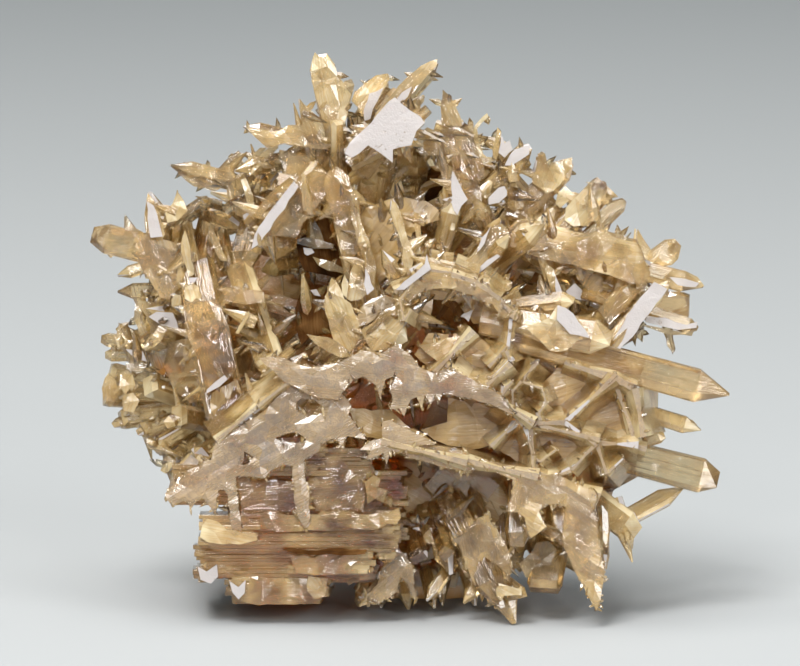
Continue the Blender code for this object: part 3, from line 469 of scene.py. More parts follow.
# %% Walls of the net
NET = [
    ((7.7, 19.7), (10.1, 17.4), 2.0, 1.3, 2.0, 17.6, 12.6),
    ((10.1, 17.4), (14.0, 17.5), 2.2, 0.7, 1.3, 17.2, 12.2),
    ((14.0, 17.5), (18.8, 21.8), 1.2, 0.5, 1.6, 16.8, 11.8),
    ((14.0, 17.5), (17.1, 15.5), 1.2, 0.6, 1.8, 17.0, 12.0),
    ((17.1, 15.5), (21.2, 15.3), 1.6, 0.5, 1.8, 16.2, 11.2),
    ((17.1, 15.5), (18.1, 12.5), 1.2, 0.5, 0.9, 16.6, 11.6),
    ((18.1, 12.5), (19.7, 14.0), 0.9, 0.5, 0.4, 16.4, 11.4),
    ((17.1, 15.5), (14.6, 12.8), 1.2, 0.4, 0.9, 16.8, 11.8),
    ((14.6, 12.8), (12.5, 12.1), 0.9, 0.5, 1.6, 17.2, 12.2),
    ((10.1, 17.4), (10.9, 14.3), 1.6, 0.4, 0.7, 17.0, 12.0),
    ((10.9, 14.3), (11.6, 13.7), 0.6, 0.4, 0.6, 17.0, 12.0),
    ((11.6, 13.7), (13.2, 14.9), 0.6, 0.3, 0.3, 17.0, 12.0),
    ((10.9, 14.3), (10.8, 11.7), 0.7, 0.5, 1.6, 17.4, 12.4),
    ((18.8, 21.8), (20.9, 20.8), 2.4, 1.4, 2.0, 16.0, 11.0),
    ((20.9, 20.8), (21.7, 16.1), 1.8, 0.9, 1.6, 16.2, 11.2),
    ((18.8, 21.8), (14.0, 23.3), 2.4, 1.2, 0.8, 16.0, 11.0),
    ((10.1, 17.4), (9.0, 19.3), 1.4, 0.4, 0.7, 17.2, 12.2),
    ((9.0, 19.3), (8.9, 20.5), 0.6, 0.35, 0.6, 17.2, 12.2),
    ((8.9, 20.5), (9.8, 21.5), 0.6, 0.35, 0.8, 17.2, 12.2),
    ((9.8, 21.5), (11.3, 23.4), 0.9, 0.5, 1.2, 17.0, 12.0),
    ((9.8, 21.5), (11.8, 20.8), 0.7, 0.35, 0.5, 17.0, 12.0),
    ((11.8, 20.8), (12.2, 19.4), 0.5, 0.35, 0.6, 17.0, 12.0),
    ((12.2, 19.4), (11.5, 18.5), 0.6, 0.4, 0.6, 17.1, 12.1),
    ((11.5, 18.5), (11.6, 17.7), 0.7, 0.6, 1.2, 17.2, 12.2),
    ((8.3, 20.7), (7.5, 19.2), 1.0, 0.4, 0.4, 17.6, 12.6),
    ((7.7, 19.7), (8.3, 20.9), 1.2, 0.5, 1.1, 17.7, 12.7),
    ((8.3, 20.9), (8.9, 21.5), 0.9, 0.4, 0.5, 17.5, 12.5),
    ((6.1, 20.9), (3.0, 22.6), 1.4, 0.5, 1.0, 18.3, 13.3),
    ((6.1, 20.9), (8.8, 23.2), 1.2, 0.5, 1.4, 18.0, 13.0),
    ((8.8, 23.2), (8.3, 24.5), 1.4, 0.6, 0.9, 17.8, 12.8),
    ((-2.5, 30.2), (-0.8, 31.1), 1.2, 0.9, 1.1, 17.0, 12.0),
    ((-0.8, 31.1), (0.8, 32.2), 1.1, 0.9, 1.2, 17.0, 12.0),
    ((0.8, 32.2), (3.0, 31.9), 1.3, 1.1, 1.2, 17.0, 12.0),
    ((3.0, 31.9), (5.4, 31.1), 1.2, 1.0, 1.2, 17.1, 12.1),
    ((5.4, 31.1), (7.7, 29.5), 1.2, 0.9, 1.1, 17.1, 12.1),
    ((7.7, 29.5), (8.8, 27.7), 1.1, 0.8, 1.0, 17.0, 12.0),
    ((8.8, 27.7), (8.5, 24.9), 1.0, 0.7, 0.9, 16.8, 11.8),
    ((8.5, 24.9), (6.6, 22.9), 0.9, 0.5, 0.9, 17.0, 12.0),
    ((-12.7, 21.5), (-15.8, 19.1), 0.9, 0.6, 0.9, 18.5, 13.5),
    ((-15.8, 19.1), (-19.8, 15.7), 0.9, 0.6, 1.2, 18.2, 13.2),
    ((8.8, 27.7), (9.2, 28.3), 1.4, 0.7, 0.4, 17.3, 12.3),
    ((-0.8, 31.1), (-2.0, 29.3), 0.6, 0.3, 0.5, 17.2, 12.2),
    ((-2.0, 29.3), (-1.6, 27.4), 0.5, 0.4, 0.5, 17.4, 12.4),
    ((-1.6, 27.4), (-0.9, 28.5), 0.5, 0.4, 0.4, 17.4, 12.4),
]

EDGE_PLATES = [
    ((-3.0, 21.3), (6.4, 20.6), 18.5, 3.0, 1.5),
    ((5.6, 20.9), (11.0, 17.4), 18.2, 2.4, 1.4),
    ((10.0, 17.6), (17.4, 15.8), 17.1, 1.5, 1.2),
    ((16.4, 16.2), (22.0, 14.9), 15.6, 2.2, 1.3),
    ((13.6, 17.2), (19.0, 22.2), 16.1, 6.2, 0.9),
    ((18.6, 22.4), (21.2, 15.0), 15.3, 3.4, 1.3),
    ((2.4, 23.1), (6.3, 20.9), 17.9, 7.3, 0.9),
    ((5.8, 20.9), (9.0, 23.8), 17.8, 7.7, 0.9),
    ((0.6, 21.6), (5.2, 26.4), 17.6, 5.1, 1.3),
    ((-3.8, 15.7), (4.5, 13.6), 18.6, 3.5, 1.4),
    ((3.8, 13.9), (11.4, 12.2), 18.1, 3.8, 1.6),
    ((10.6, 12.7), (17.4, 10.2), 17.2, 4.2, 1.9),
    ((10.6, 17.8), (11.2, 12.0), 16.9, 6.5, 1.1),
    ((6.8, 15.2), (9.8, 18.0), 17.5, 8.5, 0.9),
    ((17.0, 16.0), (18.2, 12.2), 15.5, 6.9, 0.9),
    ((-0.4, 32.2), (3.0, 31.8), 16.6, 4.6, 1.1),
    ((2.4, 31.9), (6.6, 30.9), 16.8, 4.9, 1.1),
    ((6.0, 31.1), (9.4, 27.6), 17.0, 4.3, 1.2),
    ((8.9, 28.6), (8.4, 22.6), 16.7, 5.3, 1.1),
    ((-13.0, 21.8), (-19.6, 16.0), 16.4, 3.9, 1.2),
    ((-3.4, 23.4), (1.4, 20.6), 18.0, 4.1, 2.4),
]

WALL_FLAT = 0.4
WALL_BEVEL = 0.45
WALL_FILM = 0.80
WALL_TONES = (0.45, 1.0)
WALL_SPREAD = 1.6
WALL_TOOTH_DEPTH = 0.2
PLATE_NODE = 1.1
PLATE_MIDDLE = 0.5


def wall_piece(first, second, first_width, second_width, front, back):
    """Half of a wall: a tapered plate that shows its bevelled front edge."""
    run = Vector((second[0] - first[0], second[1] - first[1]))
    across = Vector((-run.y, run.x)).normalized()
    corners = []
    for end, width in ((Vector(first), first_width), (Vector(second), second_width)):
        for side in (across, -across):
            corners += [place(*(end + side * width / 2 * WALL_FLAT), front)]
            corners += [place(*(end + side * width / 2), front - width * WALL_BEVEL)]
            corners += [place(*(end + side * (width / 2 + WALL_SPREAD)), back)]
    along = turn(run.x, run.y, 0).normalized()
    wide = turn(across.x, across.y, 0).normalized()
    return hull(corners, place(*first, front), along, wide, -VIEWER, chance.uniform(*WALL_TONES), WALL_FILM)


def wall(first, second, first_width, middle_width, second_width, front, back):
    """One wall of the net, thin in the middle and wide at both nodes."""
    middle = (Vector(first) + Vector(second)) / 2
    toothed.append([place(*spot, front - WALL_TOOTH_DEPTH) for spot in (first, second)])
    return [wall_piece(first, middle, first_width, middle_width, front, back),
            wall_piece(middle, second, middle_width, second_width, front, back)]


# %% [markdown]
# ## Flat plates in the front plane
# Some crystals turn their broad faces to the viewer and have grown together into flat plates
# with toothed edges and round holes. Each is given by the outline that the photo shows. A cut
# out of sheet would look like paper, so the edge is roughened and points are set on lines along
# its long axis, each line at its own depth. A Delaunay triangulation joins them: its facets are
# long strips at slightly different angles, like the faces of parallel laths, and the ones at
# the edge slope down to it. The dull film, partly a painted sheen, lies on the inner facets, so
# the slopes and the walls of the holes stay clear; the facets at the rim also get a lighter
# tone as a painted highlight. Some plates are not crystal faces: mirror white ones are painted
# reflections, and dark ones in the hollows are painted shade.

# %% Plates with toothed outlines
# Each row: front, back, film, tone, then the outline and any holes in tenths of a millimetre. A film of 2 paints
# the plate mirror white as a painted reflection, -1 makes a golden cell floor, and -2 a dark sheet of painted
# shade in a hollow.
SHEETS = [
    (18.9, 16.2, 1.0, 0.4,
     "-157,238 -145,239 -132,238 -117,231 -105,228 -94,231 -80,233 -66,240 -55,245 -37,243 -30,247 "
     "-23,251 -16,245 -9,240 -1,229 13,223 25,227 34,224 59,211 77,202 91,183 86,184 66,194 41,200 "
     "21,203 18,196 14,203 10,193 4,202 1,189 -4,200 -10,197 -16,181 -21,189 -30,188 -27,197 "
     "-29,207 -24,221 -34,217 -39,198 -43,211 -55,220 -66,216 -75,206 -80,197 -100,199 -124,211 "
     "-138,220"),
    (18.2, 15.4, 1.0, 0.3,
     "-126,213 -108,215 -88,211 -74,201 -67,191 -70,183 -62,171 -53,159 -64,161 -72,162 -77,151 "
     "-81,160 -87,159 -94,155 -100,146 -112,140 -113,135 -111,117 -108,102 -107,82 -112,72 -119,83 "
     "-123,102 -123,117 -124,133 -134,134 -146,128 -151,121 -167,123 -179,123 -179,112 -176,89 "
     "-174,68 -183,72 -185,89 -187,105 -191,110 -196,110 -198,102 -199,87 -205,94 -212,102 -219,97 "
     "-223,91 -226,97 -230,99 -240,95 -246,100 -248,106 -238,117 -229,122 -226,129 -216,133 "
     "-210,138 -203,139 -199,155 -185,163 -167,177 -154,185 -140,199",
     "-121,194 -116,199 -103,197 -94,190 -96,184 -109,181 -121,187",
     "-142,160 -131,164 -122,166 -114,162 -111,158 -121,155 -134,157",
     "-171,147 -162,142 -167,135 -172,134"),
    (18.6, 16.4, 1.0, 0.35,
     "-37,176 -30,178 -18,171 -5,165 13,155 -6,152 -22,146 -29,148 -33,134 -36,146 -43,142 -52,140 "
     "-49,148 -59,149 -53,154 -46,158 -37,160"),
    (18.0, 15.2, 0.55, 0.4,
     "-34,158 -20,154 -5,155 11,153 26,151 40,148 50,140 72,137 93,131 106,127 118,124 139,122 "
     "162,111 169,109 171,101 169,91 171,72 178,33 176,13 171,-8 166,0 156,20 146,39 139,54 138,69 "
     "141,89 141,93 133,96 119,95 115,89 119,78 122,74 113,67 107,63 104,69 101,83 93,89 85,89 "
     "89,104 92,119 78,125 66,131 53,131 43,125 41,129 31,130 20,132 -2,139 -20,147 -34,150"),
    (15.4, 12.6, 0.6, 0.2,
     "31,60 41,65 47,72 57,82 66,85 68,78 79,63 87,48 89,28 86,25 78,33 72,39 69,28 75,13 78,0 "
     "72,-4 63,4 53,17 46,33 41,45 37,56"),
    (14.4, 12.0, 0.3, 0.2,
     "96,37 109,48 113,57 125,59 133,51 134,25 131,16 125,11 112,16 102,25"),
    (17.6, 16.4, 0.0, 1.0,
     "73,28 76,19 86,16 98,13 98,8 87,7 81,7 78,1 74,6 73,13 76,17"),
    (15.6, 13.4, 0.8, 0.3,
     "-35,50 -25,54 -17,47 -8,35 -4,-2 -12,17 -20,25 -23,10 -32,3 -60,-5 -54,5 -42,17 -37,33"),
    (17.9, 15.0, 0.35, 0.3,
     "-128,49 -90,48 -54,49 -68,36 -74,30 -90,27 -120,29"),
    (18.4, 14.0, 0.2, 0.9,
     "-212,75 -207,82 -196,79 -188,71 -172,68 -160,68 -158,61 -175,57 -192,57 -206,59 -214,64"),
    (17.0, 13.0, 0.3, 0.0,
     "-179,122 -158,122 -130,118 -110,117 -97,140 -80,143 -53,111 -56,91 -54,87 -120,87 -174,83"),
    (13.6, 9.5, -1.0, 0.3,
     "85,187 101,174 80,155 50,148 20,155 0,167 26,175 27,199 50,195"),
    (14.3, 10.0, -1.0, 0.3,
     "101,174 140,175 171,155 146,128 125,121 100,133 75,150"),
    (13.1, 9.0, -1.0, 0.3,
     "142,173 188,218 209,208 217,161 171,155"),
    (13.8, 9.2, -1.0, 0.3,
     "91,203 118,211 140,233 186,219 140,176 108,182"),
    (14.7, 10.4, -1.0, 0.3,
     "29,229 58,245 86,233 62,211"),
    (14.1, 9.6, -1.0, 0.3,
     "8,262 52,259 83,248 65,231 35,228 12,224 -6,241"),
    (13.3, 8.8, -1.0, 0.3,
     "-7,309 30,316 74,293 85,277 52,271 35,293 12,295 7,267 -15,276"),
    (15.0, 10.8, -1.0, 0.3,
     "-71,190 -48,186 -30,187 -16,174 16,154 -37,158 -56,161"),
    (8.2, 5.2, -1.0, 0.3,
     "-22,143 35,137 80,115 92,63 20,61 -16,89"),
    (15.0, 10.2, 2.0, 1.0,
     "-20,487 -10,479 0,473 4,467 -4,459 -9,445 -21,443 -27,441 -27,428 -40,438 -51,445 -60,437 "
     "-67,433 -74,437 -70,446 -59,457 -48,467 -37,481 -25,492"),
    (14.4, 12.2, 2.0, 1.0,
     "228,312 234,309 241,305 230,291 220,277 207,258 192,243 184,247 192,262 202,280 214,296"),
    (8.4, 6.4, 2.0, 1.0,
     "-270,392 -263,388 -258,373 -254,357 -266,356 -269,375"),
    (14.8, 11.4, 2.0, 1.0,
     "-124,410 -119,405 -138,377 -157,349 -165,344 -162,357 -143,386"),
    (15.6, 12.6, 2.0, 1.0,
     "31,420 36,411 42,399 46,392 40,386 36,377 33,381 30,389 21,392 31,395"),
    (17.4, 14.6, 2.0, 1.0,
     "-24,304 -16,312 -4,321 4,329 6,339 10,324 -6,312 -16,304"),
    (16.4, 13.0, 2.0, 1.0,
     "-217,35 -208,30 -198,37 -197,25 -204,18 -214,22"),
    (16.8, 13.0, 2.0, 1.0,
     "-186,21 -177,15 -170,22 -171,9 -177,3 -183,10"),
    (14.8, 12.6, 0.6, 0.0,
     "-79,26 -68,39 -54,42 -40,35 -44,22 -60,21 -70,16"),
    (8.4, 5.5, 0.0, 0.95,
     "-104,539 -100,535 -93,534 -87,529 -83,523 -82,515 -77,511 -73,503 -68,497 -70,487 -72,477 "
     "-75,467 -82,445 -90,445 -95,467 -99,480 -103,495 -107,510 -108,520 -107,530"),
    (9.2, 7.0, 0.0, 0.45,
     "-119,493 -114,487 -107,481 -102,476 -97,471 -94,455 -98,449 -111,451 -114,455 -116,470 "
     "-118,482"),
    (8.9, 6.2, 0.3, 0.55,
     "-172,465 -158,463 -140,461 -130,467 -116,467 -114,459 -100,455 -90,450 -87,445 -95,443 "
     "-115,446 -135,449 -145,446 -152,445 -156,449 -164,456"),
    (7.9, 5.8, 0.1, 0.6,
     "-247,429 -235,427 -220,425 -214,429 -195,424 -190,424 -182,417 -192,411 -205,414 -220,417 "
     "-234,422"),
    (7.4, 5.4, 0.0, 0.1,
     "-242,425 -222,417 -192,411 -198,405 -204,402 -213,405 -224,407 -232,413"),
    (7.2, 4.8, 0.0, 0.4,
     "-192,411 -182,415 -177,411 -173,400 -170,390 -168,379 -174,375 -182,379 -188,390 -191,400"),
    (8.4, 6.4, 0.0, 1.1,
     "-177,413 -172,415 -168,405 -164,390 -162,381 -168,378 -171,391 -174,403"),
    (8.8, 7.0, 2.0, 1.0,
     "-175,378 -168,382 -164,378 -166,371 -172,368"),
    (7.9, 6.0, 0.0, 0.7,
     "-158,445 -152,445 -163,432 -170,422 -177,417 -180,423 -172,432 -164,440"),
    (8.4, 6.2, 0.0, 0.85,
     "-142,453 -140,445 -148,437 -158,427 -168,417 -170,423 -160,435 -150,445"),
    (5.8, 4.2, 0.0, -0.1,
     "-147,428 -146,423 -152,410 -159,402 -163,415 -156,422"),
    (8.2, 5.4, 0.1, 0.3,
     "-139,443 -122,438 -108,435 -98,427 -102,419 -120,417 -133,419 -140,435"),
    (12.4, 9.5, 0.15, 0.35,
     "-120,415 -98,423 -85,415 -92,400 -102,385 -115,370 -122,355 -135,357 -150,357 -158,347 "
     "-152,363 -135,383 -124,400"),
    (11.8, 9.5, 0.0, 0.45,
     "-121,418 -124,411 -140,395 -152,382 -158,373 -162,380 -152,395 -138,407 -128,415"),
    (9.0, 6.6, 0.0, 0.95,
     "17,532 16,525 8,517 -2,506 -8,497 -17,487 -22,481 -30,473 -38,475 -48,467 -44,479 -32,492 "
     "-22,505 -12,515 0,525 10,530"),
    (9.3, 8.0, 2.0, 1.0,
     "-8,505 -12,495 -20,487 -24,491 -18,499"),
    (8.6, 6.2, 0.1, 0.7,
     "-32,518 -30,513 -36,501 -42,491 -50,480 -58,477 -62,485 -68,491 -65,499 -55,508 -44,516"),
    (9.0, 7.4, 2.0, 1.0,
     "-50,498 -36,504 -42,491 -47,482 -49,473 -55,471 -56,481 -52,491"),
    (7.6, 5.8, 0.0, 0.6,
     "-75,511 -68,513 -65,507 -68,495 -71,483 -76,491 -78,503"),
    (7.6, 5.8, 0.0, 0.7,
     "3,496 4,491 -5,481 -15,479 -21,481 -12,489 -4,494"),
    (8.0, 5.6, 0.15, 0.45,
     "-2,459 7,465 16,461 26,461 29,453 30,439 17,438 0,438 -6,445"),
    (4.6, 2.0, -2.0, 0.1,
     "-13,423 2,421 12,427 20,423 26,400 16,397 5,391 -15,397 -22,399 -12,412"),
    (8.7, 6.4, 0.0, 0.6,
     "22,502 30,495 36,483 41,471 41,465 32,466 21,467 20,485"),
    (8.3, 5.6, 0.0, 0.5,
     "21,466 41,465 52,467 56,455 60,435 64,417 58,411 50,413 40,415 35,419 30,435 26,450"),
    # The shaded side of the column above: its tone below nought makes it dark brown as painted shade.
    (8.6, 6.6, 0.0, -0.1,
     "29,458 34,455 40,430 40,421 35,421 30,435"),
    (8.6, 6.4, 0.0, 1.0,
     "66,479 67,475 56,463 58,450 62,439 66,435 59,435 54,449 52,461 54,467 60,474"),
    (8.8, 6.8, 0.0, 0.5,
     "76,465 80,460 78,453 77,440 75,432 72,435 73,450"),
    (8.6, 6.8, 2.0, 1.0,
     "80,458 83,449 88,452 91,443 83,435 77,440"),
    (9.2, 7.2, 2.0, 1.0,
     "93,443 108,447 107,438 98,432 90,427 83,427 88,437"),
    (9.0, 6.8, 0.0, 0.05,
     "94,433 102,436 107,432 102,424 94,418 89,421 88,427"),
    (9.4, 7.0, 0.0, 0.5,
     "25,430 31,425 38,415 44,413 56,411 60,403 60,390 46,389 40,399 35,411 28,420"),
    (10.0, 7.6, 0.0, 0.25,
     "18,434 23,435 28,423 32,410 35,395 30,393 24,407 20,420"),
    (10.6, 8.8, 2.0, 1.0,
     "67,395 77,405 85,407 85,397 77,390 67,388"),
    (13.4, 10.0, 0.0, 0.75,
     "85,363 80,369 72,367 63,359 55,345 44,333 42,325 50,321 60,327 72,337 80,343 88,355"),
    (13.8, 12.4, 2.0, 1.0,
     "69,367 65,357 58,343 55,341 60,355"),
    (13.8, 12.4, 2.0, 1.0,
     "75,339 78,337 68,329 58,321 54,323 65,333"),
    (15.0, 12.6, 0.0, 0.9,
     "-28,392 -24,389 -16,370 -10,347 -6,337 -8,327 -15,323 -18,333 -17,345 -22,360 -29,381"),
    (14.6, 12.4, 0.0, 0.85,
     "-7,380 -2,379 0,365 -1,350 2,339 -4,339 -4,355 -6,367"),
    (14.2, 11.0, 0.1, 0.8,
     "-66,400 -60,390 -58,370 -50,350 -44,333 -45,305 -48,302 -52,320 -55,337 -62,350 -64,363 "
     "-68,380"),
    (13.4, 10.0, 0.3, 0.5,
     "-82,425 -70,415 -68,395 -62,365 -58,345 -68,333 -70,320 -74,327 -77,345 -84,370 -90,390 "
     "-94,405 -90,420"),
    (10.4, 7.0, -1.0, 0.3,
     "-54,385 -35,392 -25,395 5,392 18,383 18,373 0,367 -8,360 -15,340 -32,320 -40,310 -48,333 "
     "-54,355 -60,370"),
    (10.0, 4.0, -2.0, 0.1,
     "-97,390 -92,380 -89,365 -80,340 -75,325 -77,312 -88,318 -102,321 -114,323 -119,333 -121,345 "
     "-122,352 -116,357 -108,365 -101,373"),
    (11.0, 9.0, 0.0, 0.0,
     "-104,373 -98,363 -94,350 -98,349 -102,355 -106,365"),
    (11.0, 9.0, 0.0, 0.0,
     "-121,354 -105,355 -95,352 -84,349 -87,345 -100,345 -112,347 -121,350"),
    (11.4, 9.0, 0.0, 0.35,
     "-106,337 -90,333 -75,325 -70,323 -70,316 -75,320 -90,323 -100,328"),
    (10.6, 9.0, 2.0, 1.0,
     "-115,346 -107,345 -104,341 -111,338 -114,340"),
    (10.4, 5.0, -2.0, 0.2,
     "-118,301 -107,303 -94,297 -92,285 -89,270 -87,262 -95,260 -110,257 -117,250 -122,265 "
     "-123,285"),
    (11.0, 9.6, 2.0, 1.0,
     "-108,304 -102,305 -98,298 -104,299"),
    (16.0, 12.6, 0.2, 0.8,
     "-87,316 -82,312 -78,305 -74,295 -68,291 -64,280 -58,265 -54,250 -54,245 -68,240 -75,245 "
     "-84,253 -88,265 -93,283 -93,298 -90,303"),
    (15.4, 13.0, 0.0, 0.9,
     "-63,332 -58,327 -54,313 -49,303 -58,295 -68,293 -74,297 -70,310 -68,323"),
    (15.8, 13.6, 0.0, 1.1,
     "-74,319 -70,310 -72,297 -76,299 -77,310"),
    (15.7, 13.6, 2.0, 1.0,
     "-54,325 -48,310 -45,305 -52,299 -55,310"),
    (15.8, 13.0, 0.9, 0.5,
     "-48,295 -35,299 -22,295 -10,295 -16,287 -25,289 -35,285 -45,275 -58,267 -62,277 -56,289"),
    (16.4, 13.0, 0.15, 0.65,
     "-45,273 -34,285 -22,289 -18,281 -15,271 -22,260 -25,250 -35,245 -48,245 -54,255 -58,265"),
    (17.0, 14.6, 0.0, 0.75,
     "-111,261 -90,258 -80,253 -70,245 -68,239 -78,238 -90,244 -102,251"),
    (17.2, 14.0, 0.55, 0.5,
     "-23,303 -5,312 10,322 35,319 58,311 78,295 88,277 80,277 70,290 50,299 30,305 12,305 -5,299 "
     "-15,290"),
    (13.9, 12.0, -2.0, 0.1,
     "13,275 23,290 28,287 20,277 16,267"),
    (13.9, 12.0, -2.0, 0.1,
     "34,287 40,292 44,283 38,275"),
    (14.1, 12.0, 2.0, 1.0,
     "43,291 48,292 51,284 47,273 43,277 39,278 45,284"),
    (16.8, 13.0, 0.1, 0.6,
     "40,260 32,250 26,240 20,230 16,235 5,243 -2,250 12,252 25,257"),
    (6.4, 3.0, 0.15, 0.35,
     "-250,252 -230,257 -206,243 -200,223 -208,197 -228,193 -244,205 -254,229"),
    (5.0, 2.0, 0.1, 0.55,
     "-280,295 -258,292 -240,273 -244,250 -260,243 -276,253 -284,275"),
    (4.0, 1.6, 0.2, 0.4,
     "-327,359 -322,366 -316,369 -308,367 -295,366 -280,365 -272,360 -274,345 -285,337 -294,336 "
     "-308,343 -320,352"),
    (4.2, 2.6, 0.0, 0.4,
     "-294,378 -290,371 -282,364 -294,364"),
    (8.2, 5.4, 0.0, 0.65,
     "-269,400 -263,393 -257,380 -252,360 -254,355 -270,355 -272,370 -271,387"),
    (7.2, 5.0, 0.0, 0.85,
     "-240,402 -234,393 -230,383 -240,373 -250,371 -252,381 -245,390"),
    (7.4, 4.0, 0.6, 0.4,
     "-280,360 -255,355 -238,350 -235,333 -240,305 -248,295 -257,297 -265,310 -275,325 -282,340"),
    (9.0, 6.8, 0.0, 1.0,
     "-232,364 -229,355 -226,335 -222,320 -228,317 -233,333 -236,350"),
    (8.4, 6.4, 0.0, 0.6,
     "-208,368 -202,359 -196,345 -190,333 -196,333 -204,347 -210,359"),
    (14.8, 12.6, 0.1, 1.1,
     "-230,305 -227,308 -222,310 -216,308 -216,303 -213,298 -218,293 -224,292 -230,296"),
    (9.6, 7.6, 0.1, 1.1,
     "-245,295 -241,300 -236,299 -235,290 -240,284 -245,289"),
    (14.9, 13.0, 2.0, 1.0,
     "-226,316 -218,316 -220,312 -225,311"),
    (8.6, 6.4, 2.0, 1.0,
     "-268,278 -260,283 -244,282 -238,265 -250,266 -260,273"),
    (9.0, 6.8, 0.0, 0.95,
     "-270,246 -264,260 -257,270 -250,265 -255,255 -262,248"),
    (4.0, 1.8, 0.0, 0.6,
     "-300,270 -296,262 -290,254 -300,245 -302,255 -315,255 -312,259 -302,259"),
    (5.4, 3.4, 2.0, 1.0,
     "-292,246 -275,244 -271,234 -282,236"),
    (5.6, 4.2, 0.0, -0.2,
     "-292,232 -280,234 -270,231 -274,224 -290,224"),
    (4.8, 3.4, 0.1, 0.3,
     "-313,217 -308,221 -302,215 -299,203 -303,193 -308,188 -314,196 -316,207"),
    (5.6, 4.4, 0.1, 0.8,
     "-297,222 -291,226 -285,221 -282,210 -289,206 -292,201 -298,209"),
    (6.2, 4.8, 0.1, 0.9,
     "-295,200 -285,203 -278,195 -284,183 -294,185"),
    (14.4, 11.0, 0.2, 0.2,
     "-232,295 -215,293 -198,295 -190,275 -184,250 -180,227 -188,217 -208,205 -212,215 -216,235 "
     "-226,255 -230,275"),
    (15.2, 13.4, 2.0, 1.0,
     "-191,221 -188,217 -205,205 -209,203 -208,207"),
    (13.4, 9.6, -1.0, 0.2,
     "-204,203 -180,217 -174,197 -176,177 -192,171 -205,185"),
    (11.6, 9.0, -2.0, 0.1,
     "-192,291 -178,287 -187,273"),
    (11.6, 9.0, -2.0, 0.1,
     "-156,279 -152,263 -168,269"),
    (12.6, 9.6, 0.1, 0.3,
     "-194,307 -175,303 -154,303 -152,291 -170,290 -184,292 -192,295"),
    (13.2, 11.0, 0.0, 1.1,
     "-168,284 -167,280 -178,261 -181,262 -177,270"),
    (9.0, 6.4, 0.0, 0.75,
     "116,437 119,441 123,439 126,425 132,430 140,433 150,435 149,425 142,415 132,403 125,399 "
     "118,405 110,410 113,420"),
    (8.8, 6.8, 0.0, 0.85,
     "143,407 150,400 147,393 138,385 133,390 136,400"),
    (10.2, 7.6, 0.0, 0.9,
     "182,411 184,405 178,393 176,385 172,377 165,367 150,367 142,373 143,385 152,395 160,403 "
     "170,408"),
    (10.5, 8.6, 0.0, 0.0,
     "165,405 180,412 183,405 172,397 166,398"),
    (9.8, 7.8, 0.0, 0.7,
     "202,393 201,387 190,377 182,365 174,367 172,375 180,385 192,392"),
    (12.0, 8.4, 0.2, 0.65,
     "100,340 130,345 145,355 180,363 192,355 212,351 220,333 225,320 220,308 205,311 185,319 "
     "155,327 128,333"),
    (11.6, 9.0, 0.0, 0.2,
     "178,365 195,359 212,354 216,345 208,339 190,343 178,350"),
    (12.2, 9.0, 0.7, 0.4,
     "86,365 100,373 120,367 125,350 120,343 100,343 88,347"),
    (12.4, 10.4, 0.0, 0.8,
     "213,364 218,355 225,345 228,337 221,333 216,345 212,355"),
    (9.4, 7.2, 0.0, 0.6,
     "252,353 257,348 254,335 248,329 235,327 228,329 235,338 243,345"),
    (11.4, 9.6, 0.0, 0.6,
     "248,325 260,323 272,317 279,308 272,306 255,305 242,307 238,315"),
    (11.8, 10.4, 2.0, 1.0,
     "244,317 260,315 273,311 270,307 252,309"),
    (12.8, 10.0, 0.0, 0.9,
     "123,330 130,325 136,305 142,290 133,293 126,310 122,323"),
    (13.2, 11.4, 2.0, 1.0,
     "132,318 140,298 144,292 138,290 132,305"),
    (9.6, 6.0, -2.0, 0.1,
     "113,322 121,319 122,311 108,312"),
    (10.0, 8.0, 2.0, 1.0,
     "143,303 152,311 160,303 166,293 155,295 148,297"),
    (10.0, 8.0, 2.0, 1.0,
     "180,312 192,308 184,298 174,289 171,297 178,303"),
    (10.8, 8.0, 0.0, -0.1,
     "152,325 178,317 180,305 172,297 164,305 154,315"),
    (12.6, 9.6, 0.15, 0.35,
     "195,308 210,305 220,307 208,295 195,280 185,270 180,277 174,285 180,291"),
    (17.3, 14.0, 0.0, 1.0,
     "102,267 125,277 133,289 146,281 156,273 165,257 152,255 142,245 125,245 116,255"),
    (17.6, 15.4, 2.0, 1.0,
     "133,289 148,281 160,265 164,257 145,261 132,275"),
    (11.2, 8.6, 0.1, 0.3,
     "235,303 255,303 263,297 264,290 262,277 250,273 230,279 228,290"),
    (12.9, 11.4, 2.0, 1.0,
     "222,279 240,277 260,270 271,273 270,267 252,265 235,269 220,273"),
    (12.5, 10.4, 0.0, 0.5,
     "216,271 235,267 255,263 268,265 266,259 248,260 230,265"),
    (11.4, 9.6, 0.0, 0.6,
     "242,261 250,250 248,243 242,250"),
    (11.4, 9.6, 0.0, 0.05,
     "212,265 220,267 218,253 212,259"),
    (17.9, 15.5, 0.25, 0.3,
     "-174,86 -140,88 -128,85 -100,86 -96,89 -68,89 -60,86 -40,87 -21,92 -19,83 -24,76 -32,77 "
     "-40,72 -80,74 -88,70 -110,71 -140,69 -149,72 -170,71"),
    (16.5, 14.0, 0.25, 0.25,
     "-182,22 -158,26 -130,24 -108,27 -90,24 -92,11 -102,0 -130,-2 -158,-3 -174,1 -180,11"),
    (17.0, 15.0, 0.1, 0.8,
     "-109,26 -92,24 -93,6 -103,3 -110,11"),
    (17.6, 15.0, 0.1, 0.6,
     "-54,117 -46,124 -39,121 -41,112 -32,109 -36,97 -44,101 -52,96"),
    (18.6, 17.0, -2.0, 0.05,
     "-134,52 -100,51 -75,53 -52,52 -54,48 -90,48 -120,48"),
]

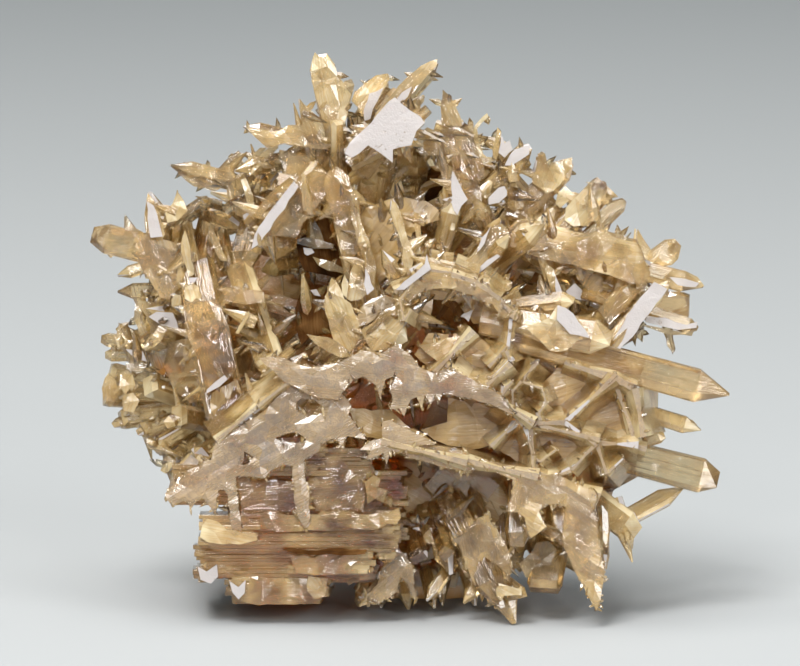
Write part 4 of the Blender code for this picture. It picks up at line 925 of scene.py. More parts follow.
ROUGH_STEP = 0.75
ROUGH_OFF = (-0.10, 0.14)
LINE_SPACING = 0.7
CLEAR_STEP = 2.4
FILMED_STEP = 1.1
FILMED_FROM = 0.45
POINT_MARGIN = 0.30
EDGE_DROP = (0.12, 0.34)
LINES_AT_MOST = 64
LINE_UNEVEN = 0.25
EDGE_FILM = 0.65
RIM_PAINTED_HIGHLIGHT = 0.25
FILM_SPREAD = (0.88, 1.0)
CLEAR_RELIEF = 0.30
FILMED_RELIEF = 0.10
FLOOR_RELIEF = 0.16
PAINTED_REFLECTION_RELIEF = 0.02
PLATE_TOOTH_DEPTH = 0.4


def roughened(loop):
    """A closed outline with extra points that stand a little off its long edges."""
    rough = []
    for index, corner in enumerate(loop):
        start, run = Vector(loop[index - 1]), Vector(corner) - Vector(loop[index - 1])
        count = int(run.length / ROUGH_STEP)
        off = Vector((-run.y, run.x)).normalized()
        for step in range(1, count):
            rough.append(start + run * step / count + off * chance.uniform(*ROUGH_OFF))
        rough.append(Vector(corner))
    return rough


def inside(spot, loops):
    """Whether a spot lies within the outline and outside its holes, by the even-odd rule."""
    crossed = False
    for loop in loops:
        for index, corner in enumerate(loop):
            other = loop[index - 1]
            if (corner.y > spot.y) != (other.y > spot.y):
                crossed ^= spot.x < other.x + (spot.y - other.y) / (corner.y - other.y) * (corner.x - other.x)
    return crossed


def near_edge(spot, loops):
    """Whether a spot lies closer to an edge than the margin."""
    for loop in loops:
        for index, corner in enumerate(loop):
            run = corner - loop[index - 1]
            share = max(0.0, min(1.0, (spot - loop[index - 1]).dot(run) / run.length_squared))
            if (loop[index - 1] + run * share - spot).length < POINT_MARGIN:
                return True
    return False


def long_axis(loop):
    """The angle of the longest reach of an outline."""
    middle = sum(loop, Vector((0, 0))) / len(loop)
    off = [corner - middle for corner in loop]
    mixed = sum(item.x * item.y for item in off)
    return atan2(2 * mixed, sum(item.x ** 2 - item.y ** 2 for item in off)) / 2


def strewn(loops, angle, step):
    """Points on lines along the long axis of an outline, with the number of each one's line."""
    axis = Vector((cos(angle), sin(angle)))
    side = Vector((-axis.y, axis.x))
    along = [corner.dot(axis) for corner in loops[0]]
    across = [corner.dot(side) for corner in loops[0]]
    spots = []
    for line in range(int((max(across) - min(across)) / LINE_SPACING) + 1):
        off = min(across) + (line + chance.uniform(0.3, 0.7)) * LINE_SPACING
        for place_on_line in range(int((max(along) - min(along)) / step) + 1):
            reach = min(along) + (place_on_line + chance.random()) * step
            spot = axis * reach + side * off
            if inside(spot, loops) and not near_edge(spot, loops):
                spots.append((spot, line))
    return spots


def relief_of(film):
    """How uneven a plate is: clear ones the most, those painted mirror white as a reflection the least."""
    if film > 1.0:
        return PAINTED_REFLECTION_RELIEF
    return FLOOR_RELIEF if film < 0.0 else CLEAR_RELIEF + (FILMED_RELIEF - CLEAR_RELIEF) * film


def traced(text):
    """The corners of an outline written as pairs of tenths of a millimetre."""
    return [tuple(int(value) / 10 for value in pair.split(",")) for pair in text.split()]


def sheet(front, back, film, tone, outline, *holes):
    """A plate with a rough outline, holes and an uneven front of small facets."""
    loops = [roughened(traced(text)) for text in (outline,) + holes]
    filmed = FILMED_FROM < film <= 1.0
    if filmed:
        for loop in loops:
            toothed.append([place(*spot, front - PLATE_TOOTH_DEPTH) for spot in loop])
    corners = []
    edges = []
    for loop in loops:
        first = len(corners)
        edges += [(first + (i - 1) % len(loop), first + i) for i in range(len(loop))]
        corners += loop
    rim = len(corners)
    angle = long_axis(loops[0])
    lined = strewn(loops, angle, FILMED_STEP if filmed else CLEAR_STEP)
    corners += [spot for spot, _ in lined]
    depths = [chance.random() for _ in range(LINES_AT_MOST)]
    spots, _, triangles, origins, _, _ = delaunay_2d_cdt(corners, edges, [], 0, 1e-6)
    relief = relief_of(film)
    drop = (EDGE_DROP[0] * relief / CLEAR_RELIEF, EDGE_DROP[1] * min(1.0, relief / FILMED_RELIEF))
    shape = bmesh.new()
    edge_verts = set()
    for spot, origin in zip(spots, origins):
        at_rim = not origin or min(origin) < rim
        height = front - chance.uniform(*drop)
        if not at_rim:
            share = depths[lined[min(origin) - rim][1] % LINES_AT_MOST]
            height = front - relief * (share + chance.uniform(0.0, LINE_UNEVEN))
        vert = shape.verts.new((spot.x, spot.y, height))
        if at_rim:
            edge_verts.add(vert)
    shape.verts.ensure_lookup_table()
    for triangle in triangles:
        middle = (spots[triangle[0]] + spots[triangle[1]] + spots[triangle[2]]) / 3
        if inside(middle, loops):
            shape.faces.new([shape.verts[i] for i in triangle])
    bmesh.ops.delete(shape, geom=[v for v in shape.verts if not v.link_faces], context="VERTS")
    grain = shape.loops.layers.uv.new("grain")
    tones = shape.faces.layers.float.new("tone")
    films = shape.faces.layers.float.new("film")
    for face in shape.faces:
        at_rim = any(vert in edge_verts for vert in face.verts)
        # Facets at the rim get a lighter tone as a painted highlight.
        face[tones] = tone + chance.uniform(-0.12, 0.12) + (RIM_PAINTED_HIGHLIGHT if at_rim else 0.0)
        face[films] = film
        if 0.0 < film <= 1.0:
            face[films] = film * (EDGE_FILM if at_rim else chance.uniform(*FILM_SPREAD))
    made = bmesh.ops.extrude_face_region(shape, geom=shape.faces[:], use_keep_orig=True)
    fresh = set(item for item in made["geom"] if isinstance(item, bmesh.types.BMVert))
    for vert in fresh:
        vert.co.z = back
    for face in shape.faces:
        if any(vert in fresh for vert in face.verts):
            face[tones] = tone
            face[films] = min(film, 0.0)
    bmesh.ops.recalc_face_normals(shape, faces=shape.faces)
    bmesh.ops.dissolve_limit(shape, angle_limit=FLAT_ANGLE, verts=shape.verts, edges=shape.edges,
                             delimit={"SEAM"})
    for face in shape.faces:
        for loop in face.loops:
            spot = loop.vert.co
            along = spot.x * cos(angle) + spot.y * sin(angle)
            across = spot.y * cos(angle) - spot.x * sin(angle) + spot.z
            loop[grain].uv = (across + tone * 37.0, along)
    for corner in shape.verts:
        corner.co = place(*corner.co) * MILLIMETRE
    mesh = bpy.data.meshes.new("sheet")
    shape.to_mesh(mesh)
    shape.free()
    return mesh


# %% [markdown]
# ## The striated block
# At the lower left many crystals grew side by side into a block that looks like a stack of
# split slates. Each slab of the solid model is split here into thin layers with their own
# depth and broken ends.

# %% Layered slabs
SLABS = [
    (-20.2, -9.0, 12.3, 16.0, 17.2, 4.6),
    (-24.4, -17.6, 9.4, 13.2, 14.2, 3.4),
    (-18.2, -4.8, 7.2, 13.6, 14.6, 2.2),
    (-11.4, -4.6, 9.6, 14.8, 16.0, 4.1),
    (-18.6, -2.0, 5.8, 8.2, 16.8, 0.3),
    (-20.4, -2.6, 4.9, 6.6, 17.5, 1.8),
    (-21.6, -15.6, 5.6, 8.5, 18.0, 5.2),
    (-21.0, -5.0, 2.4, 5.3, 16.3, 1.1),
    (-13.0, -4.4, 2.8, 5.1, 17.7, 4.4),
    (-18.8, -9.0, -0.2, 2.9, 15.5, 2.9),
    (-22.2, -19.0, 1.9, 5.5, 15.8, 5.6),
    (-19.1, -16.8, 0.3, 3.4, 16.6, 7.7),
    (-5.8, -1.2, 6.0, 12.6, 15.2, 2.6),
    (-4.6, -2.2, 4.2, 8.8, 17.3, 4.8),
    (-9.6, -4.0, 1.8, 4.6, 13.6, 3.2),
]

LAYER_HEIGHT = 0.36
LAYER_DEPTHS = (-0.30, 0.04)
LAYER_ENDS = (0.0, 1.5)
LAYER_TONES = (-0.22, 0.14)
LAYER_BREAKS = (0, 0, 1, 1, 2)
SLAB_TONES = (0.05, 0.40)


def layers(left, right, bottom, top, front, back):
    """One slab as thin layers of parallel growth with uneven fronts and broken ends."""
    count = max(2, round((top - bottom) / LAYER_HEIGHT))
    step = (top - bottom) / count
    tone = chance.uniform(*SLAB_TONES)
    meshes = []
    for index in range(count):
        low = bottom + step * index
        high = low + step * chance.uniform(1.15, 1.6)
        start = left + chance.uniform(*LAYER_ENDS) * chance.random()
        stop = right - chance.uniform(*LAYER_ENDS) * chance.random()
        breaks = sorted(chance.uniform(start, stop) for _ in range(chance.choice(LAYER_BREAKS)))
        for first, last in zip([start] + breaks, breaks + [stop]):
            near = front + chance.uniform(*LAYER_DEPTHS)
            edge = chance.uniform(0.03, 0.12)
            corners = []
            for across in (first, last + 0.1):
                skew = chance.uniform(-0.5, 0.5)
                corners += [place(across, low + edge, near), place(across, high - edge, near)]
                corners += [place(across, low, near - edge), place(across, high, near - edge)]
                corners += [place(across + skew, low, back), place(across + skew, high, back)]
            origin = place(left, low, front)
            layer_tone = tone + chance.uniform(*LAYER_TONES)
            meshes.append(hull(corners, origin, turn(1, 0, 0), turn(0, 1, 0), -VIEWER, layer_tone, 0.0))
    return meshes


# %% [markdown]
# ## The back, the heart and the foot
# The photo doesn't show the back. Plates stand on it along the lattice directions, spread by
# the golden angle, which covers an ellipsoid evenly without a visible pattern. The heart is the
# dense middle that holds all roots, and the stump below it has the small flat that the
# specimen rests on.

# %% Back, heart and foot
HEART_ACROSS = -2.0
HEART_UP = 22.5
HEART_TOWARD = -3.0
HEART_REACH = (17.0, 15.0, 9.5)
HEART_CORNERS = 8
HEART_RINGS = ((-1.0, 0.45), (-0.3, 0.96), (0.45, 0.92), (1.0, 0.4))
BACK_COUNT = 34
BACK_FIRST = 0.30
BACK_SPAN = 1.26
BACK_REACH = (17.5, 15.5, 12.0)
BACK_HALF_LENGTHS = (7.0, 9.5)
BACK_LEANS = (0.20, 0.75)
BACK_WIDTHS = (4.2, 6.4)
BACK_FLATNESS = (0.36, 0.48)
REST_LENGTH = 14.0
REST_DEPTH = 11.0
REST_SIDES = 9
STUMP_LOW = -1.0
STUMP_HIGH = 16.0
STUMP_TAPER = 0.8


def back_crystals(draw):
    """Plates that stand on the back, the sides and the underside, along the lattice directions."""
    meshes = []
    golden_turn = pi * (3 - sqrt(5))
    reach_across, reach_up, reach_toward = BACK_REACH
    for index in range(BACK_COUNT):
        toward = BACK_FIRST - BACK_SPAN * (index + 0.5) / BACK_COUNT
        ring = sqrt(1 - toward ** 2)
        angle = golden_turn * index
        heading = Vector((ring * cos(angle), ring * sin(angle), toward))
        surface = Vector((heading.x * reach_across, heading.y * reach_up, heading.z * reach_toward))
        outward = surface.normalized()
        direction = LATTICE[index % 3]
        along = Vector((cos(direction), sin(direction), draw.uniform(-0.2, 0.2)))
        if along.dot(outward) < 0:
            along = -along
        flat = (along - outward * along.dot(outward)).normalized()
        lean = draw.uniform(*BACK_LEANS)
        axis = (flat * cos(lean) + outward * sin(lean)).normalized()
        middle = Vector((HEART_ACROSS, HEART_UP, HEART_TOWARD)) + surface
        half = draw.uniform(*BACK_HALF_LENGTHS)
        start = place(*(middle - axis * half))
        end = place(*(middle + axis * half))
        width = draw.uniform(*BACK_WIDTHS)
        kind = draw.choice(("blade", "blade", "chisel"))
        thickness = width * draw.uniform(*BACK_FLATNESS)
        meshes += bundle(start, end, turn(*outward), width, thickness, kind)
    return meshes


def heart():
    """The dense middle of the cluster, a faceted mass that holds the roots of the crystals."""
    corners = []
    reach_across, reach_up, reach_toward = HEART_REACH
    for level, share in HEART_RINGS:
        for step in range(HEART_CORNERS):
            angle = 2 * pi * (step + level / 3) / HEART_CORNERS
            across = HEART_ACROSS + cos(angle) * share * reach_across
            up = HEART_UP + sin(angle) * share * reach_up
            corners.append(place(across, up, HEART_TOWARD + level * reach_toward))
    origin = place(HEART_ACROSS, HEART_UP, HEART_TOWARD)
    return hull(corners, origin, turn(0, 1, 0), turn(1, 0, 0), VIEWER, 0.5, 0.0)


def foot():
    """The broken stump under the cluster, down to the flat that it rests on."""
    corners = []
    for step in range(REST_SIDES):
        angle = 2 * pi * step / REST_SIDES
        across = REST_CENTRE_ACROSS + cos(angle) * REST_LENGTH / 2
        toward = REST_CENTRE_DEPTH + sin(angle) * REST_DEPTH / 2
        base = place(across, 0.0, toward)
        corners.append(Vector((base.x, base.y, STUMP_LOW)))
        corners.append(Vector((base.x * STUMP_TAPER, base.y * STUMP_TAPER, STUMP_HIGH)))
    up = Vector((0, 0, 1))
    return hull(corners, Vector((0, 0, 0)), up, Vector((1, 0, 0)), Vector((0, 1, 0)), 0.5, 0.0)


# %% [markdown]
# ## Crust and broken ends
# The crust at the left edge and the lower end of the slab are bunches of short crystals in all
# directions. Each listed one is a thinner core with a few knobs round its end.

# %% Crust and broken ends
RUBBLE = [
    ((-19.5, 4.5, 14.0), (-21.3, 3.0, 15.5), 2.0, 1.4, 20, "chisel"),
    ((-16.5, 2.5, 14.0), (-17.8, 1.1, 15.8), 2.0, 1.4, 0, "chisel"),
    ((-12.5, 1.8, 14.0), (-12.0, 0.8, 15.5), 1.8, 1.2, 30, "chisel"),
    ((-9.5, 3.2, 14.0), (-9.0, 1.8, 15.5), 1.8, 1.3, 10, "chisel"),
    ((-6.0, 4.8, 14.0), (-5.2, 3.4, 15.5), 1.8, 1.3, 40, "chisel"),
    ((-4.6, 10.5, 13.0), (-2.8, 9.6, 16.2), 1.8, 1.3, 40, "chisel"),
    ((-4.6, 7.5, 13.0), (-2.8, 6.9, 16.2), 1.8, 1.3, 20, "chisel"),
    ((-6.6, 12.4, 13.0), (-4.4, 12.0, 16.4), 1.8, 1.3, 20, "chisel"),
]
KNOBS = 5
KNOB_WIDTHS = (0.7, 1.5)
KNOB_REACH = (0.9, 1.8)
KNOB_BACK = (0.5, 2.4)
CORE_SHARE = 0.75
CRUST_FILM = 0.3
CRUST_TONES = (0.2, 0.9)


SKIRT_RINGS = [
    (20, 0.55, (3.0, 9.0), (1.05, 1.50), (0.3, 3.2)),
    (16, 0.60, (8.0, 13.0), (1.40, 1.95), (4.0, 8.5)),
]
SKIRT_WIDTHS = (1.6, 3.4)
SKIRT_FLATNESS = (0.35, 0.55)


def skirt():
    """Blades round the stump, which hide it as the crystals round any broken root do."""
    meshes = []
    for count, root_share, root_heights, tip_shares, tip_heights in SKIRT_RINGS:
        for index in range(count):
            angle = 2 * pi * (index + chance.uniform(-0.3, 0.3)) / count
            around = Vector((cos(angle) * REST_LENGTH / 2, sin(angle) * REST_DEPTH / 2, 0))
            up = Vector((0, 0, 1))
            start = around * root_share + up * chance.uniform(*root_heights)
            end = around * chance.uniform(*tip_shares) + up * chance.uniform(*tip_heights)
            width = chance.uniform(*SKIRT_WIDTHS)
            meshes += bundle(start, end, up.cross(around), width, width * chance.uniform(*SKIRT_FLATNESS),
                             chance.choice(("blade", "blade", "spike", "chisel")))
    return meshes


def knobs(root, tip, width, thickness, turned, tip_kind):
    """A crust crystal: a thinner core with short knobs in all directions round its end."""
    core = (width * CORE_SHARE, thickness * CORE_SHARE)
    meshes = front_crystal(CRUST_FILM, root, tip, *core, turned, tip_kind, chance.uniform(*CRUST_TONES))
    end = Vector(tip)
    run = (end - Vector(root)).normalized()
    for _ in range(KNOBS):
        start = end - run * chance.uniform(*KNOB_BACK)
        scatter = Vector((chance.uniform(-1, 1), chance.uniform(-1, 1), chance.uniform(-0.4, 1)))
        stop = start + (run * 0.5 + scatter).normalized() * chance.uniform(*KNOB_REACH)
        size = chance.uniform(*KNOB_WIDTHS)
        meshes += front_crystal(CRUST_FILM, start, stop, size, size * 0.7, chance.uniform(0, 90),
                                "chisel", chance.uniform(*CRUST_TONES))
    return meshes


# %% Make all listed crystals
BAND_FILM = 0.9
LOW_TONES = (-0.25, 0.35)
# The solid model draws its back plates from this seed, after the broken corners of its slabs
MODEL_SEED = 7
MODEL_SLAB_DRAWS = 252
meshes = [heart(), foot()]
for row in STOUT:
    meshes += front_crystal(0.0, *row, 90, "blunt")
for row in TOP_LEFT + TOP_CENTRE + TOP_RIGHT + RIGHT + LEFT + CENTRE + SMALL:
    meshes += front_crystal(0.25, *row)
for row in BOTTOM:
    meshes += front_crystal(0.25, *row, tone=chance.uniform(*LOW_TONES))
for row in CELL_FLOORS:
    meshes += front_crystal(0.1, *row)
for row in CRUST + RUBBLE:
    meshes += knobs(*row)
meshes += skirt()
for row in FRONT_BANDS:
    meshes += front_crystal(BAND_FILM, *row)
for row in NET:
    meshes += wall(*row)
for first, second, front, back, width in EDGE_PLATES:
    node_width = width * PLATE_NODE
    meshes += wall(first, second, node_width, width * PLATE_MIDDLE, node_width, front, back)
meshes += [sheet(*row) for row in SHEETS]
for row in SLABS:
    meshes += layers(*row)
draw = random.Random(MODEL_SEED)
for _ in range(MODEL_SLAB_DRAWS):
    draw.random()
meshes += back_crystals(draw)
print(len(meshes), "laths and plates")

# %% [markdown]
# ## One intergrowth
# The crystals grew through each other, so they are one solid. A see-through material shows
# every inner wall, so the overlaps have to go. A Boolean modifier in UNION takes the whole
# collection at once, and its Manifold solver does in a second what the Exact one would need
# minutes for. It only asks that each mesh is closed, which hulls are.

# %% Join the crystals
def union(parts, name):
    """Join closed solids into one mesh with a Boolean modifier."""
    gather = bpy.data.collections.new("crystals to join")
    bpy.context.scene.collection.children.link(gather)
    first = bpy.data.objects.new(name, parts[0])
    bpy.context.scene.collection.objects.link(first)
    for index, mesh in enumerate(parts[1:]):
        gather.objects.link(bpy.data.objects.new("crystal_" + str(index), mesh))
    join = first.modifiers.new("join", "BOOLEAN")
    join.operation = "UNION"
    join.operand_type = "COLLECTION"
    join.collection = gather
    join.solver = "MANIFOLD"
    evaluated = first.evaluated_get(bpy.context.evaluated_depsgraph_get())
    joined = bpy.data.meshes.new_from_object(evaluated)
    for item in list(gather.objects) + [first]:
        bpy.data.objects.remove(item)
    bpy.data.collections.remove(gather)
    return joined


cluster = bpy.data.objects.new("cerussite_cluster", union(meshes, "joined"))
bpy.context.scene.collection.objects.link(cluster)
print("joined:", len(cluster.data.polygons), "faces")

# %% Cut the foot flat
FLOOR_BLOCK_WIDTH = 0.2
FLOOR_BLOCK_DEPTH = 0.012


def keep_result(item):
    """Make the result of an object's modifiers its plain mesh."""
    evaluated = item.evaluated_get(bpy.context.evaluated_depsgraph_get())
    mesh = bpy.data.meshes.new_from_object(evaluated)
    item.modifiers.clear()
    item.data = mesh


def cut_flat(item):
    """Take off what lies below the level that the specimen rests on."""
    depth = FLOOR_BLOCK_DEPTH
    bpy.ops.mesh.primitive_cube_add(size=1.0, location=(0, 0, -depth / 2))
    block = bpy.context.object
    block.scale = (FLOOR_BLOCK_WIDTH, FLOOR_BLOCK_WIDTH, depth)
    cut = item.modifiers.new("flat", "BOOLEAN")
    cut.operation = "DIFFERENCE"
    cut.solver = "MANIFOLD"
    cut.object = block
    keep_result(item)
    bpy.data.objects.remove(block)


cut_flat(cluster)
print("lowest point", round(min(v.co.z for v in cluster.data.vertices) * 1000, 3), "mm")

# %% [markdown]
# ## A small language for node trees
# The growth and the finish below are node trees. Node links written one by one are hard to
# read, so two small classes help: `Graph.node` adds any node from its type, settings and
# sockets, and `Value` wraps an output so that Python's own operators add Math nodes.

# %% Node helpers
class Value:
    """An output of a node that Python maths can be done on."""

    def __init__(self, graph, socket):
        self.graph = graph
        self.socket = socket

    def math(self, operation, *values):
        """Add a Math node."""
        return self.graph.node("ShaderNodeMath", {"operation": operation}, dict(enumerate(values)))[0]

    def __add__(self, other):
        return self.math("ADD", self, other)

    def __sub__(self, other):
        return self.math("SUBTRACT", self, other)

    def __rsub__(self, other):
        return self.math("SUBTRACT", other, self)

    def __mul__(self, other):
        return self.math("MULTIPLY", self, other)

    def __gt__(self, other):
        return self.math("GREATER_THAN", self, other)

    def __lt__(self, other):
        return self.math("LESS_THAN", self, other)

    __radd__ = __add__
    __rmul__ = __mul__

    def at_least(self, other):
        """The larger of two values."""
        return self.math("MAXIMUM", self, other)

    def at_most(self, other):
        """The smaller of two values."""
        return self.math("MINIMUM", self, other)

    def between(self, low, high):
        """Nought below the low value, one above the high value and smooth in between."""
        settings = {"interpolation_type": "SMOOTHSTEP"}
        ramp = self.graph.node("ShaderNodeMapRange", settings, {0: self, 1: low, 2: high})
        return ramp[0]


class Made:
    """The outputs of one node, by name or by number."""

    def __init__(self, graph, node):
        self.graph = graph
        self.node = node

    def __getitem__(self, name):
        return Value(self.graph, self.node.outputs[name])


class Graph:
    """A shader or geometry node tree that is built node by node."""

    def __init__(self, tree):
        self.tree = tree

    def node(self, kind, settings=None, sockets=None):
        """Add a node: settings first, then the values or links of its sockets."""
        node = self.tree.nodes.new(kind)
        for name, value in (settings or {}).items():
            if name == "stops":
                self.fill_ramp(node.color_ramp, value)
            else:
                setattr(node, name, value)
        for name, value in (sockets or {}).items():
            for item in value if isinstance(value, list) else [value]:
                if isinstance(item, Value):
                    self.tree.links.new(item.socket, node.inputs[name])
                else:
                    node.inputs[name].default_value = item
        return Made(self, node)

    def fill_ramp(self, ramp, stops):
        """Give a colour ramp its stops."""
        while len(ramp.elements) < len(stops):
            ramp.elements.new(0.5)
        for element, (position, colour) in zip(ramp.elements, stops):
            element.position = position
            element.color = (*colour, 1.0)

    def vector(self, operation, *values):
        """Add a Vector Math node and give both its outputs."""
        return self.node("ShaderNodeVectorMath", {"operation": operation}, dict(enumerate(values)))

    def mix(self, factor, first, second, blend="MIX"):
        """Mix two colours."""
        settings = {"data_type": "RGBA", "blend_type": blend}
        return self.node("ShaderNodeMix", settings, {0: factor, 6: first, 7: second})[2]


def socket_names(node_group):
    """The identifier of each named input of a geometry tree."""
    items = node_group.interface.items_tree
    return {item.name: item.identifier for item in items if item.in_out == "INPUT"}


# %% [markdown]
# ## Small crystals that grow on the large ones
# Every face of the real cluster carries smaller crystals that follow the same three lattice
# directions. Geometry Nodes grow them: points are scattered on the surface, each point picks
# the lattice direction that stands out most from its face, and a crystal is placed there along
# that direction. Nothing grows where a tip would leave an ellipsoid inside the solid model's box,
# or in the quiet ellipsoids round the front net and the striated block, whose faces are bare.

# %% The growth tree
LEAN_SCATTER = 0.07
PLAIN_CORNERS = ((1.0, 0.0), (0.0, 1.0), (-1.0, 0.0), (0.0, -1.0))
FLOOR_GAP = 1.6


def seed_crystal(name, root, plain):
    """One small crystal that stands on the origin along Z, one millimetre long."""
    start = Vector((0, 0, -root))
    axis, wide, deep = Vector((0, 0, 1)), Vector((1, 0, 0)), Vector((0, 1, 0))
    if plain:
        corners = [axis]
        for height, share in ((-root, 0.8), (0.35, 1.0)):
            corners += [Vector((share * x / 2, share * y / 2, height)) for x, y in PLAIN_CORNERS]
        mesh = hull(corners, start, axis, wide, deep, 0.5, 0.15)
    else:
        mesh = lath(start, axis, wide, 1.0, 1.0, "blade", 0.15, 0.5)
    item = bpy.data.objects.new(name, mesh)
    bpy.context.scene.collection.objects.link(item)
    return item


def growth_tree(name, directions):
    """A tree that lets a small crystal grow on a surface along the lattice directions."""
    tree = bpy.data.node_groups.new(name, "GeometryNodeTree")
    face = tree.interface
    face.new_socket("Surface", in_out="INPUT", socket_type="NodeSocketGeometry")
    face.new_socket("Crystal", in_out="INPUT", socket_type="NodeSocketObject")
    face.new_socket("Crystals per area", in_out="INPUT", socket_type="NodeSocketFloat")
    face.new_socket("Smallest", in_out="INPUT", socket_type="NodeSocketVector")
    face.new_socket("Largest", in_out="INPUT", socket_type="NodeSocketVector")
    face.new_socket("Lean", in_out="INPUT", socket_type="NodeSocketFloat")
    for zone in ("Room", "Net", "Block"):
        face.new_socket(zone + " centre", in_out="INPUT", socket_type="NodeSocketVector")
        face.new_socket(zone + " reach", in_out="INPUT", socket_type="NodeSocketVector")
    face.new_socket("Seed", in_out="INPUT", socket_type="NodeSocketInt")
    face.new_socket("Finish", in_out="INPUT", socket_type="NodeSocketMaterial")
    face.new_socket("Grown", in_out="OUTPUT", socket_type="NodeSocketGeometry")
    graph = Graph(tree)
    given = graph.node("NodeGroupInput")
    scatter = graph.node("GeometryNodeDistributePointsOnFaces", {"distribute_method": "RANDOM"}, {
        "Mesh": given["Surface"], "Density": given["Crystals per area"], "Seed": given["Seed"]})
    normal = scatter["Normal"]
    facing = [graph.vector("DOT_PRODUCT", normal, tuple(d))["Value"] for d in directions]
    strength = [value.math("ABSOLUTE", value) for value in facing]
    best = strength[0].at_least(strength[1]).at_least(strength[2])
    axis = None
    for direction, value, size in zip(directions, facing, strength):
        share = value.math("SIGN", value) * (size > best - 0.0001)
        part = graph.vector("SCALE", tuple(direction))
        graph.tree.links.new(share.socket, part.node.inputs["Scale"])
        axis = part["Vector"] if axis is None else graph.vector("ADD", axis, part["Vector"])["Vector"]
    jitter = graph.node("FunctionNodeRandomValue", {"data_type": "FLOAT_VECTOR"}, {
        "Min": (-LEAN_SCATTER,) * 3, "Max": (LEAN_SCATTER,) * 3, "Seed": given["Seed"]})[0]
    outward = graph.vector("SCALE", normal)
    graph.tree.links.new(given["Lean"].socket, outward.node.inputs["Scale"])
    axis = graph.vector("ADD", axis, outward["Vector"])["Vector"]
    axis = graph.vector("NORMALIZE", graph.vector("ADD", axis, jitter)["Vector"])["Vector"]
    size = graph.node("FunctionNodeRandomValue", {"data_type": "FLOAT_VECTOR"}, {
        "Min": given["Smallest"], "Max": given["Largest"], "Seed": given["Seed"]})[0]
    parts = graph.node("ShaderNodeSeparateXYZ", None, {0: size})
    reach = graph.vector("SCALE", axis)
    long = parts["Z"] * MILLIMETRE
    graph.tree.links.new(long.socket, reach.node.inputs["Scale"])
    position = graph.node("GeometryNodeInputPosition")[0]
    tip = graph.vector("ADD", position, reach["Vector"])["Vector"]
    height = graph.node("ShaderNodeSeparateXYZ", None, {0: tip})["Z"]

    def distance(spot, zone):
        """How far a spot is from the centre of a zone, as a share of the zone's reach."""
        away = graph.vector("SUBTRACT", spot, given[zone + " centre"])["Vector"]
        share = graph.vector("DIVIDE", away, given[zone + " reach"])["Vector"]
        return graph.vector("LENGTH", share)["Value"]

    allowed = (height > FLOOR_GAP * MILLIMETRE) * (distance(tip, "Room") < 1.0)
    allowed = allowed * (distance(position, "Net") > 1.0) * (distance(position, "Block") > 1.0)
    stand = graph.node("FunctionNodeAlignRotationToVector", {"axis": "Z"}, {"Vector": axis})[0]
    flat = graph.node("FunctionNodeAlignRotationToVector", {"axis": "X", "pivot_axis": "Z"}, {
        "Rotation": stand, "Vector": tuple(VIEWER.cross(directions[0]))})[0]
    shape = graph.node("GeometryNodeObjectInfo", None, {"Object": given["Crystal"], "As Instance": True})
    grown = graph.node("GeometryNodeInstanceOnPoints", None, {
        "Points": scatter["Points"], "Selection": allowed, "Instance": shape["Geometry"],
        "Rotation": flat, "Scale": size})["Instances"]
    plain = graph.node("GeometryNodeRealizeInstances", None, {0: grown})[0]
    done = graph.node("GeometryNodeSetMaterial", None, {"Geometry": plain, "Material": given["Finish"]})[0]
    graph.node("NodeGroupOutput", None, {"Grown": done})
    return tree


# %% [markdown]
# ## Teeth along the edges
# The rims of the plates and the walls of the net carry rows of tiny points, which catch the
# light as white sparks. A second tree lines any path with them: the path becomes a curve, the
# curve is divided into even steps, and each step gets a tiny crystal that points somewhere in
# the plane of the front.

# %% The tree that lines paths
FORWARD_LEAN = 0.35


